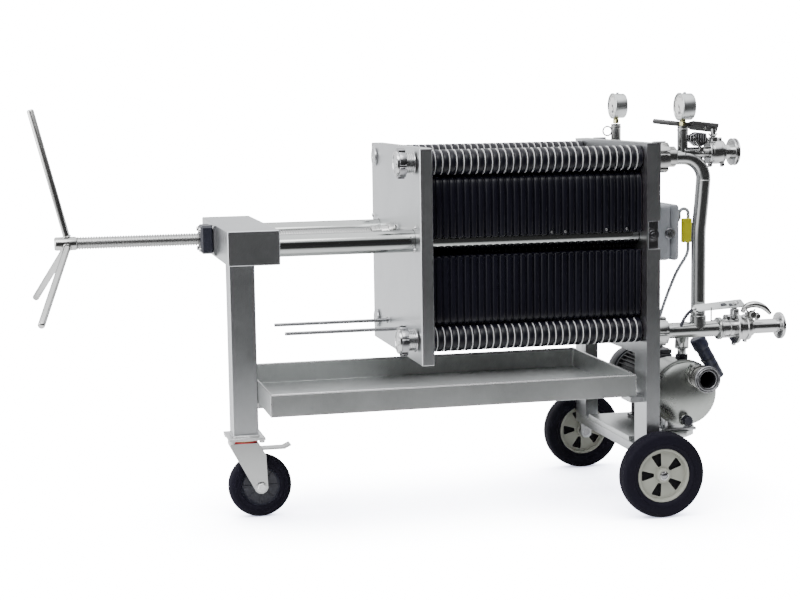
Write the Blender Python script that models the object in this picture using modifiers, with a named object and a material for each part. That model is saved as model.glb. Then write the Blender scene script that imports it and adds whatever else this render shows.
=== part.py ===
"""Plate filter press on a three-wheeled trolley, with its pump, valves and gauges.

The frame, in metres: +Z up, X along the press from the hand wheel to the valves,
Y away from the side that the operator sees, Z = 0 on the floor. Pieces are placed
from the datum, the inner face of the fixed head on the middle plane, and the empty
that carries them moves the middle of the whole footprint to the origin.
"""
import math

import bmesh
import bpy
from mathutils import Matrix

# General fits and overruns
SEAT = 0.0003
OVERRUN = 0.010
OVERLAP = 0.002
MERGE = 0.0001
RUN_FIT = 0.0005
EDGE = 0.002

# Filter pack: plates between the two heads, a port in each corner
PACK_L = 0.505
SHEET_COUNT = 30
SHEETS_IN_GROUP = 5
PLATE_PITCH = 0.01647
SHEET_FIRST = 0.0121
SHEET_THICK = 0.0024
SHEET_MARGIN = 0.0018
PORT_HALF = 0.200
PACK_MID_Z = 0.630
EAR_R = 0.029
EAR_START, EAR_STOP, EAR_STEPS = 150, -60, 4
RECESS_Y = 0.203
RECESS_DROP = 0.030
SHOULDER_Y = 0.214
SHOULDER_DROP = 0.037
SIDE_Y = 0.222
SIDE_DROP = 0.065
LUG_UP = 0.0065
NOTCH_FIT = 0.0015
NOTCH_BELOW = 0.034
LOWER_SIDE_Y = 0.216

# Heads
HEAD_T = 0.030
HEAD_HALF_W = 0.247
HEAD_TOP_Z = 0.864
MOVABLE_BOTTOM_Z = 0.377
FIXED_BOTTOM_Z = 0.345
LEG_W = 0.100
LEG_FOOT_Z = 0.1523

# Rails, and the bolts that hold them in the fixed head
RAIL_R = 0.025
RAIL_Y = 0.178
RAIL_Z = 0.6535
RAIL_HOLE_FIT = 0.0015
POCKET_HALF_H = 0.032
POCKET_DEPTH = 0.099
POCKET_WALL = 0.004
BOLT_R = 0.011
BOLT_NECK_R = 0.008
WASHER_R = 0.029
WASHER_T = 0.004

# Crosshead, post and the screw's nuts
CROSSHEAD_GAP = 0.3122
CROSSHEAD_L = 0.1155
CROSSHEAD_HALF_W = 0.232
CROSSHEAD_LOW_Z = 0.616
CROSSHEAD_HIGH_Z = 0.693
POST_HALF = 0.030
POST_WALL = 0.003
BLOCK_HALF = 0.0325
BLOCK_L = 0.029
BLOCK_EDGE = 0.005
FLANGE_HALF = 0.036
FLANGE_T = 0.005
BRONZE_R = 0.027
BRONZE_NOSE_R = 0.0215
BRONZE_L = 0.012
BRONZE_NOSE_L = 0.006

# Closing screw and three-armed hand wheel
SCREW_R = 0.0145
SCREW_BORE_R = 0.0165
SCREW_Z = 0.659
SCREW_BEYOND = 0.3175
HUB_R = 0.0155
HUB_L = 0.053
COLLAR_R = 0.0185
COLLAR_L = 0.0195
COLLAR_RIM_R = 0.0205
COLLAR_RIM_L = 0.005
BOSS_R = 0.0175
BOSS_L = 0.0175
BOSS_FLANGE_R = 0.023
BOSS_FLANGE_L = 0.018
ARM_R = 0.008
ARM_REACH = 0.285
ARM_RAKE = 0.080
ARM_ROOT = 0.032
ARM_COUNT = 3

# Guide rods of the moving head
GUIDE_R = 0.004
GUIDE_Y = 0.077
GUIDE_Z = 0.441
GUIDE_L = 0.279

# Blank union caps on the heads
UNION_R = 0.026
UNION_L = 0.012
CAP_NUT_R = 0.033
CAP_NUT_L = 0.018
CAP_END_R = 0.0275
CAP_END_L = 0.006
NUT_SLOT_R = 0.0055
NUT_SLOTS = 6
NUT_SLOT_SIDES = 6

# Drip tray and what carries it
TRAY_HALF_W = 0.2207
TRAY_FLOOR_Z = 0.2756
TRAY_H = 0.0506
TRAY_SHEET = 0.003
TRAY_CLEAR_L = 0.0005
TRAY_CLEAR_R = 0.015
BRACKET_L = 0.018
BRACKET_H = 0.0135
LEDGE_L = 0.032
LEDGE_H = 0.013

# Axle beam, axle and trolley wheels
BEAM_L = 0.044
BEAM_SHIFT = -0.006
BEAM_BOTTOM_Z = 0.1103
AXLE_X = 0.025
AXLE_R = 0.010
AXLE_END_R = 0.014
AXLE_END_L = 0.004
WHEEL_R = 0.100
WHEEL_IN_Y = 0.2525
WHEEL_W = 0.038
HUB_FIT = 0.0006
RIM_R = 0.062
RIM_BED_R = 0.056
RIM_HUB_R = 0.020
RIM_HUB_HALF = 0.019
RIM_WEB_HALF = 0.006
RIM_HALF = 0.015
TYRE_ROUND = 0.008
WINDOW_COUNT = 5
WINDOW_IN_R = 0.024
WINDOW_OUT_R = 0.049
WINDOW_IN_HALF = 0.005
WINDOW_OUT_HALF = 0.018

# Swivel caster with its brake
CASTER_PLATE_HALF_L = 0.0425
CASTER_PLATE_HALF_W = 0.0525
CASTER_PLATE_T = 0.006
CASTER_TOP_Z = 0.1967
RACE_R = 0.031
RACE_L = 0.010
SWIVEL_GAP = 0.0006
FORK_HEAD_R = 0.0325
FORK_HEAD_L = 0.008
FORK_HALF_GAP = 0.0235
FORK_T = 0.004
FORK_BACK = 0.036
FORK_FRONT = 0.030
FORK_DROP = 0.030
FORK_TIP_R = 0.0165
TRAIL = 0.0335
CASTER_R = 0.0747
CASTER_W = 0.036
CASTER_HUB_R = 0.046
CASTER_BOSS_R = 0.014
CASTER_HUB_HALF = 0.0205
CASTER_BOLT_R = 0.006
CASTER_NUT_R = 0.010
CASTER_NUT_L = 0.007
PEDAL_T = 0.004
PEDAL_HALF_W = 0.017
PEDAL_L = 0.060
PEDAL_EYE_R = 0.0075
PEDAL_PIN_R = 0.004
PEDAL_PIN_X = 0.034
PEDAL_PIN_DROP = 0.020
PEDAL_TIP_L = 0.018
PEDAL_TIP_TURN = math.radians(25)

# Base plate, pump and motor
BASE_X0 = -0.031
BASE_X1 = 0.157
BASE_HALF_W = 0.140
BASE_BOTTOM_Z = 0.1523
BASE_TOP_Z = 0.178
BASE_SHEET = 0.004
BASE_CORNER = 0.030
PUMP_X = 0.127
PUMP_Z = 0.260
PUMP_R = 0.075
PUMP_RIM_R = 0.078
PUMP_RIM_L = 0.008
PUMP_FRONT_Y = -0.188
PUMP_DISH = 0.016
DISH_SHARES = ((0.40, 0.06), (0.70, 0.25), (0.90, 0.60), (1.0, 1.0))
PUMP_BACK_Y = -0.060
PUMP_FOOT_HALF_W = 0.045
PUMP_FOOT_Y0 = -0.125
PUMP_FOOT_Y1 = -0.085
LANTERN_R = 0.048
DRAIN_X = 0.136
DRAIN_Z = 0.201
DRAIN_R = 0.0125
DRAIN_L = 0.013
DRAIN_GRIP_R = 0.0095
DRAIN_GRIP_L = 0.009
PORT_X = 0.140
PORT_Z = 0.311
PORT_FACE_Y = -0.255
PORT_TUBE_R = 0.0225
PORT_BORE_R = 0.0185
PORT_RING_R = 0.0265
PORT_RING_L = 0.006
PORT_FLANGE_R = 0.031
PORT_FLANGE_T = 0.007
MOTOR_R = 0.065
MOTOR_CORE_R = 0.058
MOTOR_FINS = 20
MOTOR_Y0 = -0.047
MOTOR_Y1 = 0.150
COVER_L = 0.045
MOTOR_FOOT_HALF_L = 0.048
MOTOR_FOOT_Y0 = 0.000
MOTOR_FOOT_Y1 = 0.095
HOUSING_R = 0.016
HOUSING_CAP_R = 0.0195
HOUSING_L = 0.086
HOUSING_CAP_L = 0.030
HOUSING_OUT = 0.1137
HOUSING_BACK = 0.061
HOUSING_Y = -0.100
HOUSING_LEAN = math.radians(29.5)
TERMINAL_HALF = 0.034
TERMINAL_H = 0.016
ARM_HALF = 0.012

# Pipes and unions behind the fixed head
PIPE_R = 0.016
RING_NUT_R = 0.035
RING_NUT_L = 0.030
SLEEVE_R = 0.024
SLEEVE_L = 0.022
PORT_UP_Z = 0.830
PIPE_Z = 0.828
RISER_X = 0.1485
BEND_R = 0.052
BEND_STEPS = 6
RISER_TOP_BEND_X = 0.0965
MANIFOLD_Z = 0.423
MANIFOLD_R = 0.0185
MANIFOLD_X1 = 0.215
OUTLET_X = 0.1225
OUTLET_Y = -0.128
OUTLET_R = 0.0145
OUTLET_NUT_R = 0.020
OUTLET_NUT_L = 0.020
OUTLET_BEND = 0.030
OUTLET_RISE = 0.004
BRANCH_H = 0.034

# Valves
VALVE_R = 0.023
CLAMP_R = 0.027
CLAMP_T = 0.008
UPPER_STUB_R = 0.0135
UPPER_STUB_X = 0.160
UPPER_BODY_L = 0.026
UPPER_PIPE_L = 0.029
UPPER_Z = 0.838
FERRULE_R = 0.029
STEM_COLLAR_R = 0.011
STEM_COLLAR_H = 0.008
STEM_R = 0.006
UPPER_PLATE_L = 0.045
UPPER_GRIP_L = 0.135
UPPER_GRIP_R = 0.005
UPPER_LEVER_Z = 0.905
UPPER_LEVER_TURN = math.radians(15)
LEVER_HALF_W = 0.010
LEVER_T = 0.004
LEVER_GAP = 0.0008
LEVER_BOLT_R = 0.005
LEVER_BOLT_L = 0.006
LOWER_BODY_R = 0.024
LOWER_BODY_L = 0.040
LOWER_NECK_L = 0.014
LOWER_PIPE_L = 0.0785
LOWER_RING_R = 0.030
LOWER_RING_T = 0.006
LOWER_LEVER_Z = 0.484
LOWER_LEVER_L = 0.112
LOWER_LEVER_BACK = 0.020
LOWER_LEVER_TURN = math.radians(20)

# Gauges
GAUGE_R = 0.031
GAUGE_BODY_R = 0.0295
GAUGE_STEM_IN = 0.011
GAUGE_PLUG_R = 0.0035
GAUGE_PLUG_H = 0.004
GAUGE_T = 0.026
GAUGE_Z = 0.946
GAUGE_RIM_T = 0.004
GAUGE_NECK_R = 0.006
GAUGE_NUT_R = 0.0085
GAUGE_NUT_L = 0.010
GAUGE_NEAR_X = 0.104
STUB_R = 0.010
STUB_TOP_Z = 0.890
STUB_CLAMP_R = 0.017
STUB_CLAMP_T = 0.008
STUB_CLAMP_Z = 0.868
GAUGE_FAR_X = 0.092
FAR_PIPE_R = 0.018
FAR_PIPE_L = 0.045

# Switch box, cable and tag
BOX_L = 0.112
BOX_Y0 = -0.110
BOX_Y1 = 0.060
BOX_LOW_Z = 0.626
BOX_HIGH_Z = 0.716
BOX_EDGE = 0.012
KNOB_R = 0.014
KNOB_L = 0.016
KNOB_Y = -0.070
KNOB_Z = 0.655
CABLE_R = 0.004
CABLE_Y = -0.092
CABLE_Z = 0.690
CABLE_RISE = 0.014
CABLE_ROOM = 0.014
CABLE_LOW_Z = 0.600
CABLE_SAG = 0.060
TAG_Z = 0.650
TAG_HALF_L = 0.0275
TAG_HALF_W = 0.0125
TAG_HALF_T = 0.006
TAG_EDGE = 0.003

# Places that follow from the sizes above
MOVABLE_X0 = -PACK_L - HEAD_T
CROSSHEAD_X1 = MOVABLE_X0 - CROSSHEAD_GAP
CROSSHEAD_X0 = CROSSHEAD_X1 - CROSSHEAD_L
POST_X = (CROSSHEAD_X0 + CROSSHEAD_X1) / 2
SCREW_X0 = CROSSHEAD_X0 - FLANGE_T - BLOCK_L - SCREW_BEYOND
SCREW_X1 = MOVABLE_X0 - BOSS_L - BOSS_FLANGE_L - RUN_FIT
WHEEL_OUT_Y = WHEEL_IN_Y + WHEEL_W
WHEEL_MID_Y = WHEEL_IN_Y + WHEEL_W / 2
RACE_Z = CASTER_TOP_Z - CASTER_PLATE_T - SEAT - RACE_L
FORK_TOP_Z = RACE_Z - SWIVEL_GAP
CASTER_X = POST_X + TRAIL
ARM_SLOPE = math.atan2(ARM_RAKE, ARM_REACH)
LEFT_END_X = SCREW_X0 + ARM_ROOT - ARM_RAKE - ARM_R * math.cos(ARM_SLOPE)
LOWER_L = LOWER_BODY_L + LOWER_NECK_L + LOWER_RING_T + LOWER_PIPE_L + 2 * CLAMP_T
LOWER_END_X = MANIFOLD_X1 + SEAT + LOWER_L
ORIGIN_X = -(LEFT_END_X + LOWER_END_X) / 2

# Colours: base colour, metallic, roughness
FINISHES = {
    "satin_steel": ((0.62, 0.62, 0.61), 1.0, 0.32),
    "polished_steel": ((0.72, 0.72, 0.72), 1.0, 0.12),
    "chrome_bar": ((0.75, 0.75, 0.76), 1.0, 0.06),
    "plate_plastic": ((0.012, 0.012, 0.016), 0.0, 0.22),
    "tyre_rubber": ((0.020, 0.019, 0.026), 0.0, 0.60),
    "rim_plastic": ((0.60, 0.59, 0.52), 0.0, 0.45),
    "block_plastic": ((0.010, 0.011, 0.018), 0.0, 0.40),
    "bronze": ((0.70, 0.52, 0.22), 1.0, 0.30),
    "box_grey": ((0.42, 0.44, 0.46), 0.0, 0.45),
    "cable_grey": ((0.30, 0.31, 0.33), 0.0, 0.50),
    "tag_yellow": ((0.62, 0.60, 0.02), 0.0, 0.50),
    "motor_grey": ((0.30, 0.31, 0.31), 0.3, 0.50),
    "slate_plastic": ((0.045, 0.05, 0.09), 0.0, 0.45),
    "gauge_white": ((0.80, 0.82, 0.82), 0.0, 0.25),
}

SIDES = 16
FINE_SIDES = 24
SMALL_SIDES = 10
SMOOTH_ANGLE = math.radians(35)
UPRIGHT = (0.0, 0.0, 0.0)
ALONG_X = (0.0, math.pi / 2, 0.0)
TO_LEFT = (0.0, -math.pi / 2, 0.0)
TO_NEAR = (math.pi / 2, 0.0, 0.0)
TO_FAR = (-math.pi / 2, 0.0, 0.0)
FACING_X = (math.pi / 2, 0.0, math.pi / 2)
NEAR_AND_FAR = (("near", -1), ("far", 1))

for item in list(bpy.data.objects):
    bpy.data.objects.remove(item, do_unlink=True)

parts = bpy.data.collections.new("plate_filter_press")
cutters = bpy.data.collections.new("cutters")
bpy.context.scene.collection.children.link(parts)
bpy.context.scene.collection.children.link(cutters)

machine = bpy.data.objects.new("machine", None)
machine.location = (ORIGIN_X, 0.0, 0.0)
parts.objects.link(machine)


def finish(name):
    """The material of a finish, made once."""
    material = bpy.data.materials.get(name)
    if material is None:
        colour, metallic, roughness = FINISHES[name]
        material = bpy.data.materials.new(name)
        material.use_nodes = True
        shader = material.node_tree.nodes["Principled BSDF"]
        shader.inputs["Base Color"].default_value = (*colour, 1.0)
        shader.inputs["Metallic"].default_value = metallic
        shader.inputs["Roughness"].default_value = roughness
    return material


def place(name, mesh, material, location=UPRIGHT, rotation=UPRIGHT, smooth=False):
    """Put a mesh among the parts, in its finish, carried by the machine's empty."""
    piece = bpy.data.objects.new(name, mesh)
    parts.objects.link(piece)
    piece.parent = machine
    piece.location = location
    piece.rotation_euler = rotation
    mesh.materials.append(finish(material))
    if smooth:
        mesh.shade_smooth()
        mesh.set_sharp_from_angle(angle=SMOOTH_ANGLE)
    return piece


def combine(piece, how, mesh, location=UPRIGHT, rotation=UPRIGHT):
    """Cut a piece by another shape, or join the shape to it."""
    tool = bpy.data.objects.new(piece.name + "_" + how.lower(), mesh)
    cutters.objects.link(tool)
    tool.parent = machine
    tool.location = location
    tool.rotation_euler = rotation
    tool.hide_render = True
    tool.display_type = "WIRE"
    change = piece.modifiers.new(how.lower(), "BOOLEAN")
    change.operation = how
    change.solver = "EXACT"
    change.object = tool
    return tool


def cut(piece, mesh, location=UPRIGHT, rotation=UPRIGHT):
    return combine(piece, "DIFFERENCE", mesh, location, rotation)


def join(piece, mesh, location=UPRIGHT, rotation=UPRIGHT):
    return combine(piece, "UNION", mesh, location, rotation)


def round_edges(piece, width):
    """Chamfer the sharp edges of a piece."""
    bevel = piece.modifiers.new("edge", "BEVEL")
    bevel.width = width
    bevel.segments = 1
    bevel.limit_method = "ANGLE"


def box_mesh(low, high):
    """A box between two opposite corners."""
    mesh = bpy.data.meshes.new("box")
    build = bmesh.new()
    bmesh.ops.create_cube(build, size=1.0)
    size = [b - a for a, b in zip(low, high)]
    middle = [(a + b) / 2 for a, b in zip(low, high)]
    build.transform(Matrix.Translation(middle) @ Matrix.Diagonal((*size, 1.0)))
    build.to_mesh(mesh)
    build.free()
    return mesh


def rod_mesh(radius, length, sides=SIDES):
    """A cylinder that stands on the origin."""
    mesh = bpy.data.meshes.new("rod")
    build = bmesh.new()
    bmesh.ops.create_cone(build, cap_ends=True, segments=sides, radius1=radius, radius2=radius, depth=length)
    build.transform(Matrix.Translation((0.0, 0.0, length / 2)))
    build.to_mesh(mesh)
    build.free()
    return mesh


def turned(name, profile, material, location, rotation=UPRIGHT, steps=SIDES):
    """Turn a closed profile of (radius, height), listed from the bottom of its outer side up."""
    mesh = bpy.data.meshes.new(name)
    build = bmesh.new()
    points = [build.verts.new((radius, 0.0, height)) for radius, height in reversed(profile)]
    for first, second in zip(points, points[1:]):
        build.edges.new((first, second))
    if profile[0][0] > 0.0:
        build.edges.new((points[-1], points[0]))
    build.to_mesh(mesh)
    build.free()
    piece = place(name, mesh, material, location, rotation)
    turn = piece.modifiers.new("turn", "SCREW")
    turn.axis = "Z"
    turn.steps = steps
    turn.render_steps = steps
    turn.use_merge_vertices = True
    turn.merge_threshold = MERGE
    turn.use_smooth_shade = True
    return piece


def stepped(*stations):
    """Profile of a solid turned piece: (radius, length) of each step, from the bottom up."""
    profile = [(0.0, 0.0)]
    height = 0.0
    for radius, length in stations:
        profile.append((radius, height))
        height += length
        profile.append((radius, height))
    profile.append((0.0, height))
    return profile


def sleeve(bore, *stations):
    """Profile of a turned piece with a bore right through."""
    outer = stepped(*stations)[1:-1]
    return outer + [(bore, outer[-1][1]), (bore, outer[0][1])]


def curve_mesh(curve):
    """The closed mesh of a curve, its caps welded."""
    holder = bpy.data.objects.new("guide", curve)
    bpy.context.scene.collection.objects.link(holder)
    bpy.context.view_layer.update()
    evaluated = holder.evaluated_get(bpy.context.evaluated_depsgraph_get())
    mesh = bpy.data.meshes.new_from_object(evaluated)
    bpy.data.objects.remove(holder, do_unlink=True)
    bpy.data.curves.remove(curve)
    build = bmesh.new()
    build.from_mesh(mesh)
    bmesh.ops.remove_doubles(build, verts=build.verts, dist=MERGE)
    bmesh.ops.recalc_face_normals(build, faces=build.faces)
    build.to_mesh(mesh)
    build.free()
    return mesh


def outline_mesh(points, thickness):
    """A flat outline in XY made solid, half its thickness each way."""
    curve = bpy.data.curves.new("outline", "CURVE")
    curve.dimensions = "2D"
    curve.fill_mode = "BOTH"
    curve.extrude = thickness / 2
    spline = curve.splines.new("POLY")
    spline.points.add(len(points) - 1)
    for point, (across, up) in zip(spline.points, points):
        point.co = (across, up, 0.0, 1.0)
    spline.use_cyclic_u = True
    return curve_mesh(curve)


def tube_mesh(route, radius, resolution=2):
    """A round bar along a route of points."""
    curve = bpy.data.curves.new("route", "CURVE")
    curve.dimensions = "3D"
    curve.bevel_depth = radius
    curve.bevel_resolution = resolution
    curve.use_fill_caps = True
    spline = curve.splines.new("POLY")
    spline.points.add(len(route) - 1)
    for point, corner in zip(spline.points, route):
        point.co = (*corner, 1.0)
    return curve_mesh(curve)


def arc(centre, radius, start, stop, count):
    """Points on an arc between two angles in degrees, both ends included."""
    angles = [math.radians(start + (stop - start) * step / count) for step in range(count + 1)]
    return [(centre[0] + radius * math.cos(a), centre[1] + radius * math.sin(a)) for a in angles]


def merged(meshes):
    """One mesh that holds several, given as (mesh, matrix)."""
    build = bmesh.new()
    for mesh, matrix in meshes:
        moved = mesh.copy()
        moved.transform(matrix)
        build.from_mesh(moved)
    result = bpy.data.meshes.new("merged")
    build.to_mesh(result)
    build.free()
    return result


# Fixed head: one plate with its two legs, and a pocket in each edge for the rail's bolt
def fixed_head_outline():
    inner = HEAD_HALF_W - LEG_W
    left = [(-HEAD_HALF_W, LEG_FOOT_Z), (-inner, LEG_FOOT_Z), (-inner, FIXED_BOTTOM_Z)]
    right = [(inner, FIXED_BOTTOM_Z), (inner, LEG_FOOT_Z), (HEAD_HALF_W, LEG_FOOT_Z)]
    return left + right + [(HEAD_HALF_W, HEAD_TOP_Z), (-HEAD_HALF_W, HEAD_TOP_Z)]


fixed_head = place(
    "fixed_head", outline_mesh(fixed_head_outline(), HEAD_T), "satin_steel", (HEAD_T / 2, 0.0, 0.0), FACING_X
)
for side_name, side in NEAR_AND_FAR:
    outer_y = side * (HEAD_HALF_W + OVERRUN)
    inner_y = side * (HEAD_HALF_W - POCKET_DEPTH)
    low = (POCKET_WALL, min(outer_y, inner_y), RAIL_Z - POCKET_HALF_H)
    high = (HEAD_T + OVERRUN, max(outer_y, inner_y), RAIL_Z + POCKET_HALF_H)
    cut(fixed_head, box_mesh(low, high))
    ledge_low = (-LEDGE_L, side * (HEAD_HALF_W - LEG_W / 2) - POST_HALF, TRAY_FLOOR_Z - SEAT - LEDGE_H)
    ledge_high = (OVERLAP, side * (HEAD_HALF_W - LEG_W / 2) + POST_HALF, TRAY_FLOOR_Z - SEAT)
    join(fixed_head, box_mesh(ledge_low, ledge_high))

# Rails and the bolts that hold them in the fixed head's pockets
for side_name, side in NEAR_AND_FAR:
    rail_l = -CROSSHEAD_X1 - 2 * SEAT
    rail_at = (CROSSHEAD_X1 + SEAT, side * RAIL_Y, RAIL_Z)
    place("rail_" + side_name, rod_mesh(RAIL_R, rail_l, FINE_SIDES), "chrome_bar", rail_at, ALONG_X, smooth=True)
    bolt_l = HEAD_T - POCKET_WALL - WASHER_T
    bolt = stepped((BOLT_R, bolt_l / 2), (BOLT_NECK_R, bolt_l / 2), (WASHER_R, WASHER_T))
    bolt_at = (POCKET_WALL + SEAT, side * RAIL_Y, RAIL_Z)
    turned("rail_bolt_" + side_name, bolt, "polished_steel", bolt_at, ALONG_X)

# Crosshead with the flange of the screw's block, and its post with the tray's bracket
crosshead = place(
    "crosshead",
    box_mesh(
        (CROSSHEAD_X0, -CROSSHEAD_HALF_W, CROSSHEAD_LOW_Z), (CROSSHEAD_X1, CROSSHEAD_HALF_W, CROSSHEAD_HIGH_Z)
    ),
    "satin_steel",
)
round_edges(crosshead, EDGE)
join(
    crosshead,
    box_mesh(
        (CROSSHEAD_X0 - FLANGE_T, -FLANGE_HALF, SCREW_Z - FLANGE_HALF),
        (CROSSHEAD_X0 + OVERLAP, FLANGE_HALF, CROSSHEAD_HIGH_Z - EDGE),
    ),
)
cut(crosshead, rod_mesh(SCREW_BORE_R, CROSSHEAD_L * 2), (CROSSHEAD_X0 - CROSSHEAD_L / 2, 0.0, SCREW_Z), ALONG_X)

post_low = CASTER_TOP_Z + SEAT
post = place(
    "post",
    box_mesh(
        (POST_X - POST_HALF, -POST_HALF, post_low), (POST_X + POST_HALF, POST_HALF, CROSSHEAD_LOW_Z - SEAT)
    ),
    "satin_steel",
)
round_edges(post, EDGE)
post_room = POST_HALF - POST_WALL
cut(
    post,
    box_mesh(
        (POST_X - post_room, -post_room, post_low - OVERRUN),
        (POST_X + post_room, post_room, CROSSHEAD_LOW_Z + OVERRUN),
    ),
)
bracket_top = TRAY_FLOOR_Z - SEAT
join(
    post,
    box_mesh(
        (POST_X + POST_HALF - OVERLAP, -POST_HALF, bracket_top - BRACKET_H),
        (POST_X + POST_HALF + BRACKET_L, POST_HALF, bracket_top),
    ),
)

# Black block, bronze nut
block_x = CROSSHEAD_X0 - FLANGE_T - SEAT
screw_block = place(
    "screw_block",
    box_mesh(
        (block_x - BLOCK_L, -BLOCK_HALF, SCREW_Z - BLOCK_HALF), (block_x, BLOCK_HALF, SCREW_Z + BLOCK_HALF)
    ),
    "block_plastic",
)
round_edges(screw_block, BLOCK_EDGE)
cut(screw_block, rod_mesh(SCREW_BORE_R, BLOCK_L * 2), (block_x - BLOCK_L * 3 / 2, 0.0, SCREW_Z), ALONG_X)

bronze = sleeve(SCREW_BORE_R, (BRONZE_R, BRONZE_L), (BRONZE_NOSE_R, BRONZE_NOSE_L))
turned("bronze_nut", bronze, "bronze", (CROSSHEAD_X1 + SEAT, 0.0, SCREW_Z), ALONG_X)

# Closing screw with its hub and collar, and the three-armed hand wheel round the hub
screw_l = SCREW_X1 - SCREW_X0
plain_l = screw_l - HUB_L - COLLAR_L - COLLAR_RIM_L
screw_steps = ((HUB_R, HUB_L), (SCREW_R, plain_l), (COLLAR_R, COLLAR_L), (COLLAR_RIM_R, COLLAR_RIM_L))
screw = turned("screw", stepped(*screw_steps), "satin_steel", (SCREW_X0, 0.0, SCREW_Z), ALONG_X)


def arm_matrix(number):
    """Turns a bar that stands on the origin into an arm raked back along the screw."""
    spin = Matrix.Rotation(2 * math.pi * number / ARM_COUNT, 4, "Z")
    lean = Matrix.Rotation(-math.pi / 2 - ARM_SLOPE, 4, "Y")
    return Matrix.Translation((0.0, 0.0, ARM_ROOT)) @ spin @ lean


arm_l = math.hypot(ARM_REACH, ARM_RAKE)
for number in range(ARM_COUNT):
    arm = rod_mesh(ARM_R, arm_l, SMALL_SIDES)
    arm.transform(arm_matrix(number))
    join(screw, arm, (SCREW_X0, 0.0, SCREW_Z), ALONG_X)

# Moving head: plate with rail holes, the screw's boss and two guide rods
movable_x = MOVABLE_X0 + HEAD_T / 2
movable_outline = [
    (-HEAD_HALF_W, MOVABLE_BOTTOM_Z),
    (HEAD_HALF_W, MOVABLE_BOTTOM_Z),
    (HEAD_HALF_W, HEAD_TOP_Z),
    (-HEAD_HALF_W, HEAD_TOP_Z),
]
movable_head = place(
    "movable_head",
    outline_mesh(movable_outline, HEAD_T - 2 * SEAT),
    "satin_steel",
    (movable_x, 0.0, 0.0),
    FACING_X,
)
round_edges(movable_head, EDGE)
for side_name, side in NEAR_AND_FAR:
    hole_at = (movable_x - HEAD_T, side * RAIL_Y, RAIL_Z)
    cut(movable_head, rod_mesh(RAIL_R + RAIL_HOLE_FIT, HEAD_T * 2, FINE_SIDES), hole_at, ALONG_X)
    guide_at = (movable_x - GUIDE_L - HEAD_T / 2, side * GUIDE_Y, GUIDE_Z)
    join(movable_head, rod_mesh(GUIDE_R, GUIDE_L + HEAD_T / 2, SMALL_SIDES), guide_at, ALONG_X)
boss = rod_mesh(BOSS_R, BOSS_L + BOSS_FLANGE_L + HEAD_T / 2)
join(movable_head, boss, (movable_x - HEAD_T / 2 - BOSS_L - BOSS_FLANGE_L, 0.0, SCREW_Z), ALONG_X)
boss_flange = rod_mesh(BOSS_FLANGE_R, BOSS_FLANGE_L + HEAD_T / 2)
join(movable_head, boss_flange, (movable_x - HEAD_T / 2 - BOSS_FLANGE_L, 0.0, SCREW_Z), ALONG_X)


def slot_matrix(number):
    """Sets a cutter on the rim of a union nut, along its axis."""
    spin = Matrix.Rotation(2 * math.pi * number / NUT_SLOTS, 4, "Z")
    return spin @ Matrix.Translation((CAP_NUT_R, 0.0, UNION_L))


# Slotted caps on the four ports of the moving head, and on the fixed head's lower far port
slot_mesh = rod_mesh(NUT_SLOT_R, CAP_NUT_L + CAP_END_L + OVERRUN, NUT_SLOT_SIDES)
slots = merged([(slot_mesh, slot_matrix(number)) for number in range(NUT_SLOTS)])
cap_profile = stepped((UNION_R, UNION_L), (CAP_NUT_R, CAP_NUT_L), (CAP_END_R, CAP_END_L))


def union_cap(name, location, rotation):
    cap = turned(name, cap_profile, "polished_steel", location, rotation)
    cut(cap, slots.copy(), location, rotation)


for side_name, side in NEAR_AND_FAR:
    for level, height in (("top", PACK_MID_Z + PORT_HALF), ("low", PACK_MID_Z - PORT_HALF)):
        cap_at = (MOVABLE_X0, side * PORT_HALF, height)
        union_cap("port_cap_" + level + "_" + side_name, cap_at, TO_LEFT)
union_cap("fixed_cap_low_far", (HEAD_T + SEAT, PORT_HALF, PACK_MID_Z - PORT_HALF), ALONG_X)


# Filter plates: six groups that slide on the rails, a sheet showing as a groove round each port
def plate_side():
    """Right half of a plate's outline from the middle height: top ear, rail notch, bottom ear."""
    notch_z = RAIL_Z - PACK_MID_Z
    notch_r = RAIL_R + NOTCH_FIT
    top = PORT_HALF
    points = arc((PORT_HALF, top), EAR_R, EAR_START, EAR_STOP, EAR_STEPS)
    points += [(RECESS_Y, top - RECESS_DROP), (SHOULDER_Y, top - SHOULDER_DROP), (SIDE_Y, top - SIDE_DROP)]
    points += [(SIDE_Y, notch_z + LUG_UP)]
    points += arc((RAIL_Y, notch_z), notch_r, 14, 180, 5)
    points += [(RAIL_Y - notch_r, notch_z - NOTCH_BELOW), (LOWER_SIDE_Y, notch_z - NOTCH_BELOW)]
    points += [(LOWER_SIDE_Y, SIDE_DROP - top), (SHOULDER_Y, SHOULDER_DROP - top), (RECESS_Y, RECESS_DROP - top)]
    points += arc((PORT_HALF, -top), EAR_R, -EAR_STOP, -EAR_START, EAR_STEPS)
    return points


plate_outline = plate_side()
plate_outline += [(-across, up) for across, up in reversed(plate_outline)]
groove_out = arc((PORT_HALF, PORT_HALF), EAR_R + OVERRUN, EAR_START, EAR_STOP, EAR_STEPS)
groove_in = arc((PORT_HALF, PORT_HALF), EAR_R - SHEET_MARGIN, EAR_STOP, EAR_START, EAR_STEPS)
groove = outline_mesh(groove_out + groove_in, SHEET_THICK)
QUARTERS = ((1, 1), (-1, 1), (1, -1), (-1, -1))
TURNS = {(1, 1): (0, 0), (-1, 1): (0, 1), (1, -1): (1, 0), (-1, -1): (1, 1)}


def groove_matrix(quarter, along):
    """A groove cutter turned over into one of the plate's corners, at a sheet's place along X."""
    about_x, about_y = TURNS[quarter]
    flip = Matrix.Rotation(math.pi * about_x, 4, "X") @ Matrix.Rotation(math.pi * about_y, 4, "Y")
    return Matrix.Translation((0.0, 0.0, along)) @ flip


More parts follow.
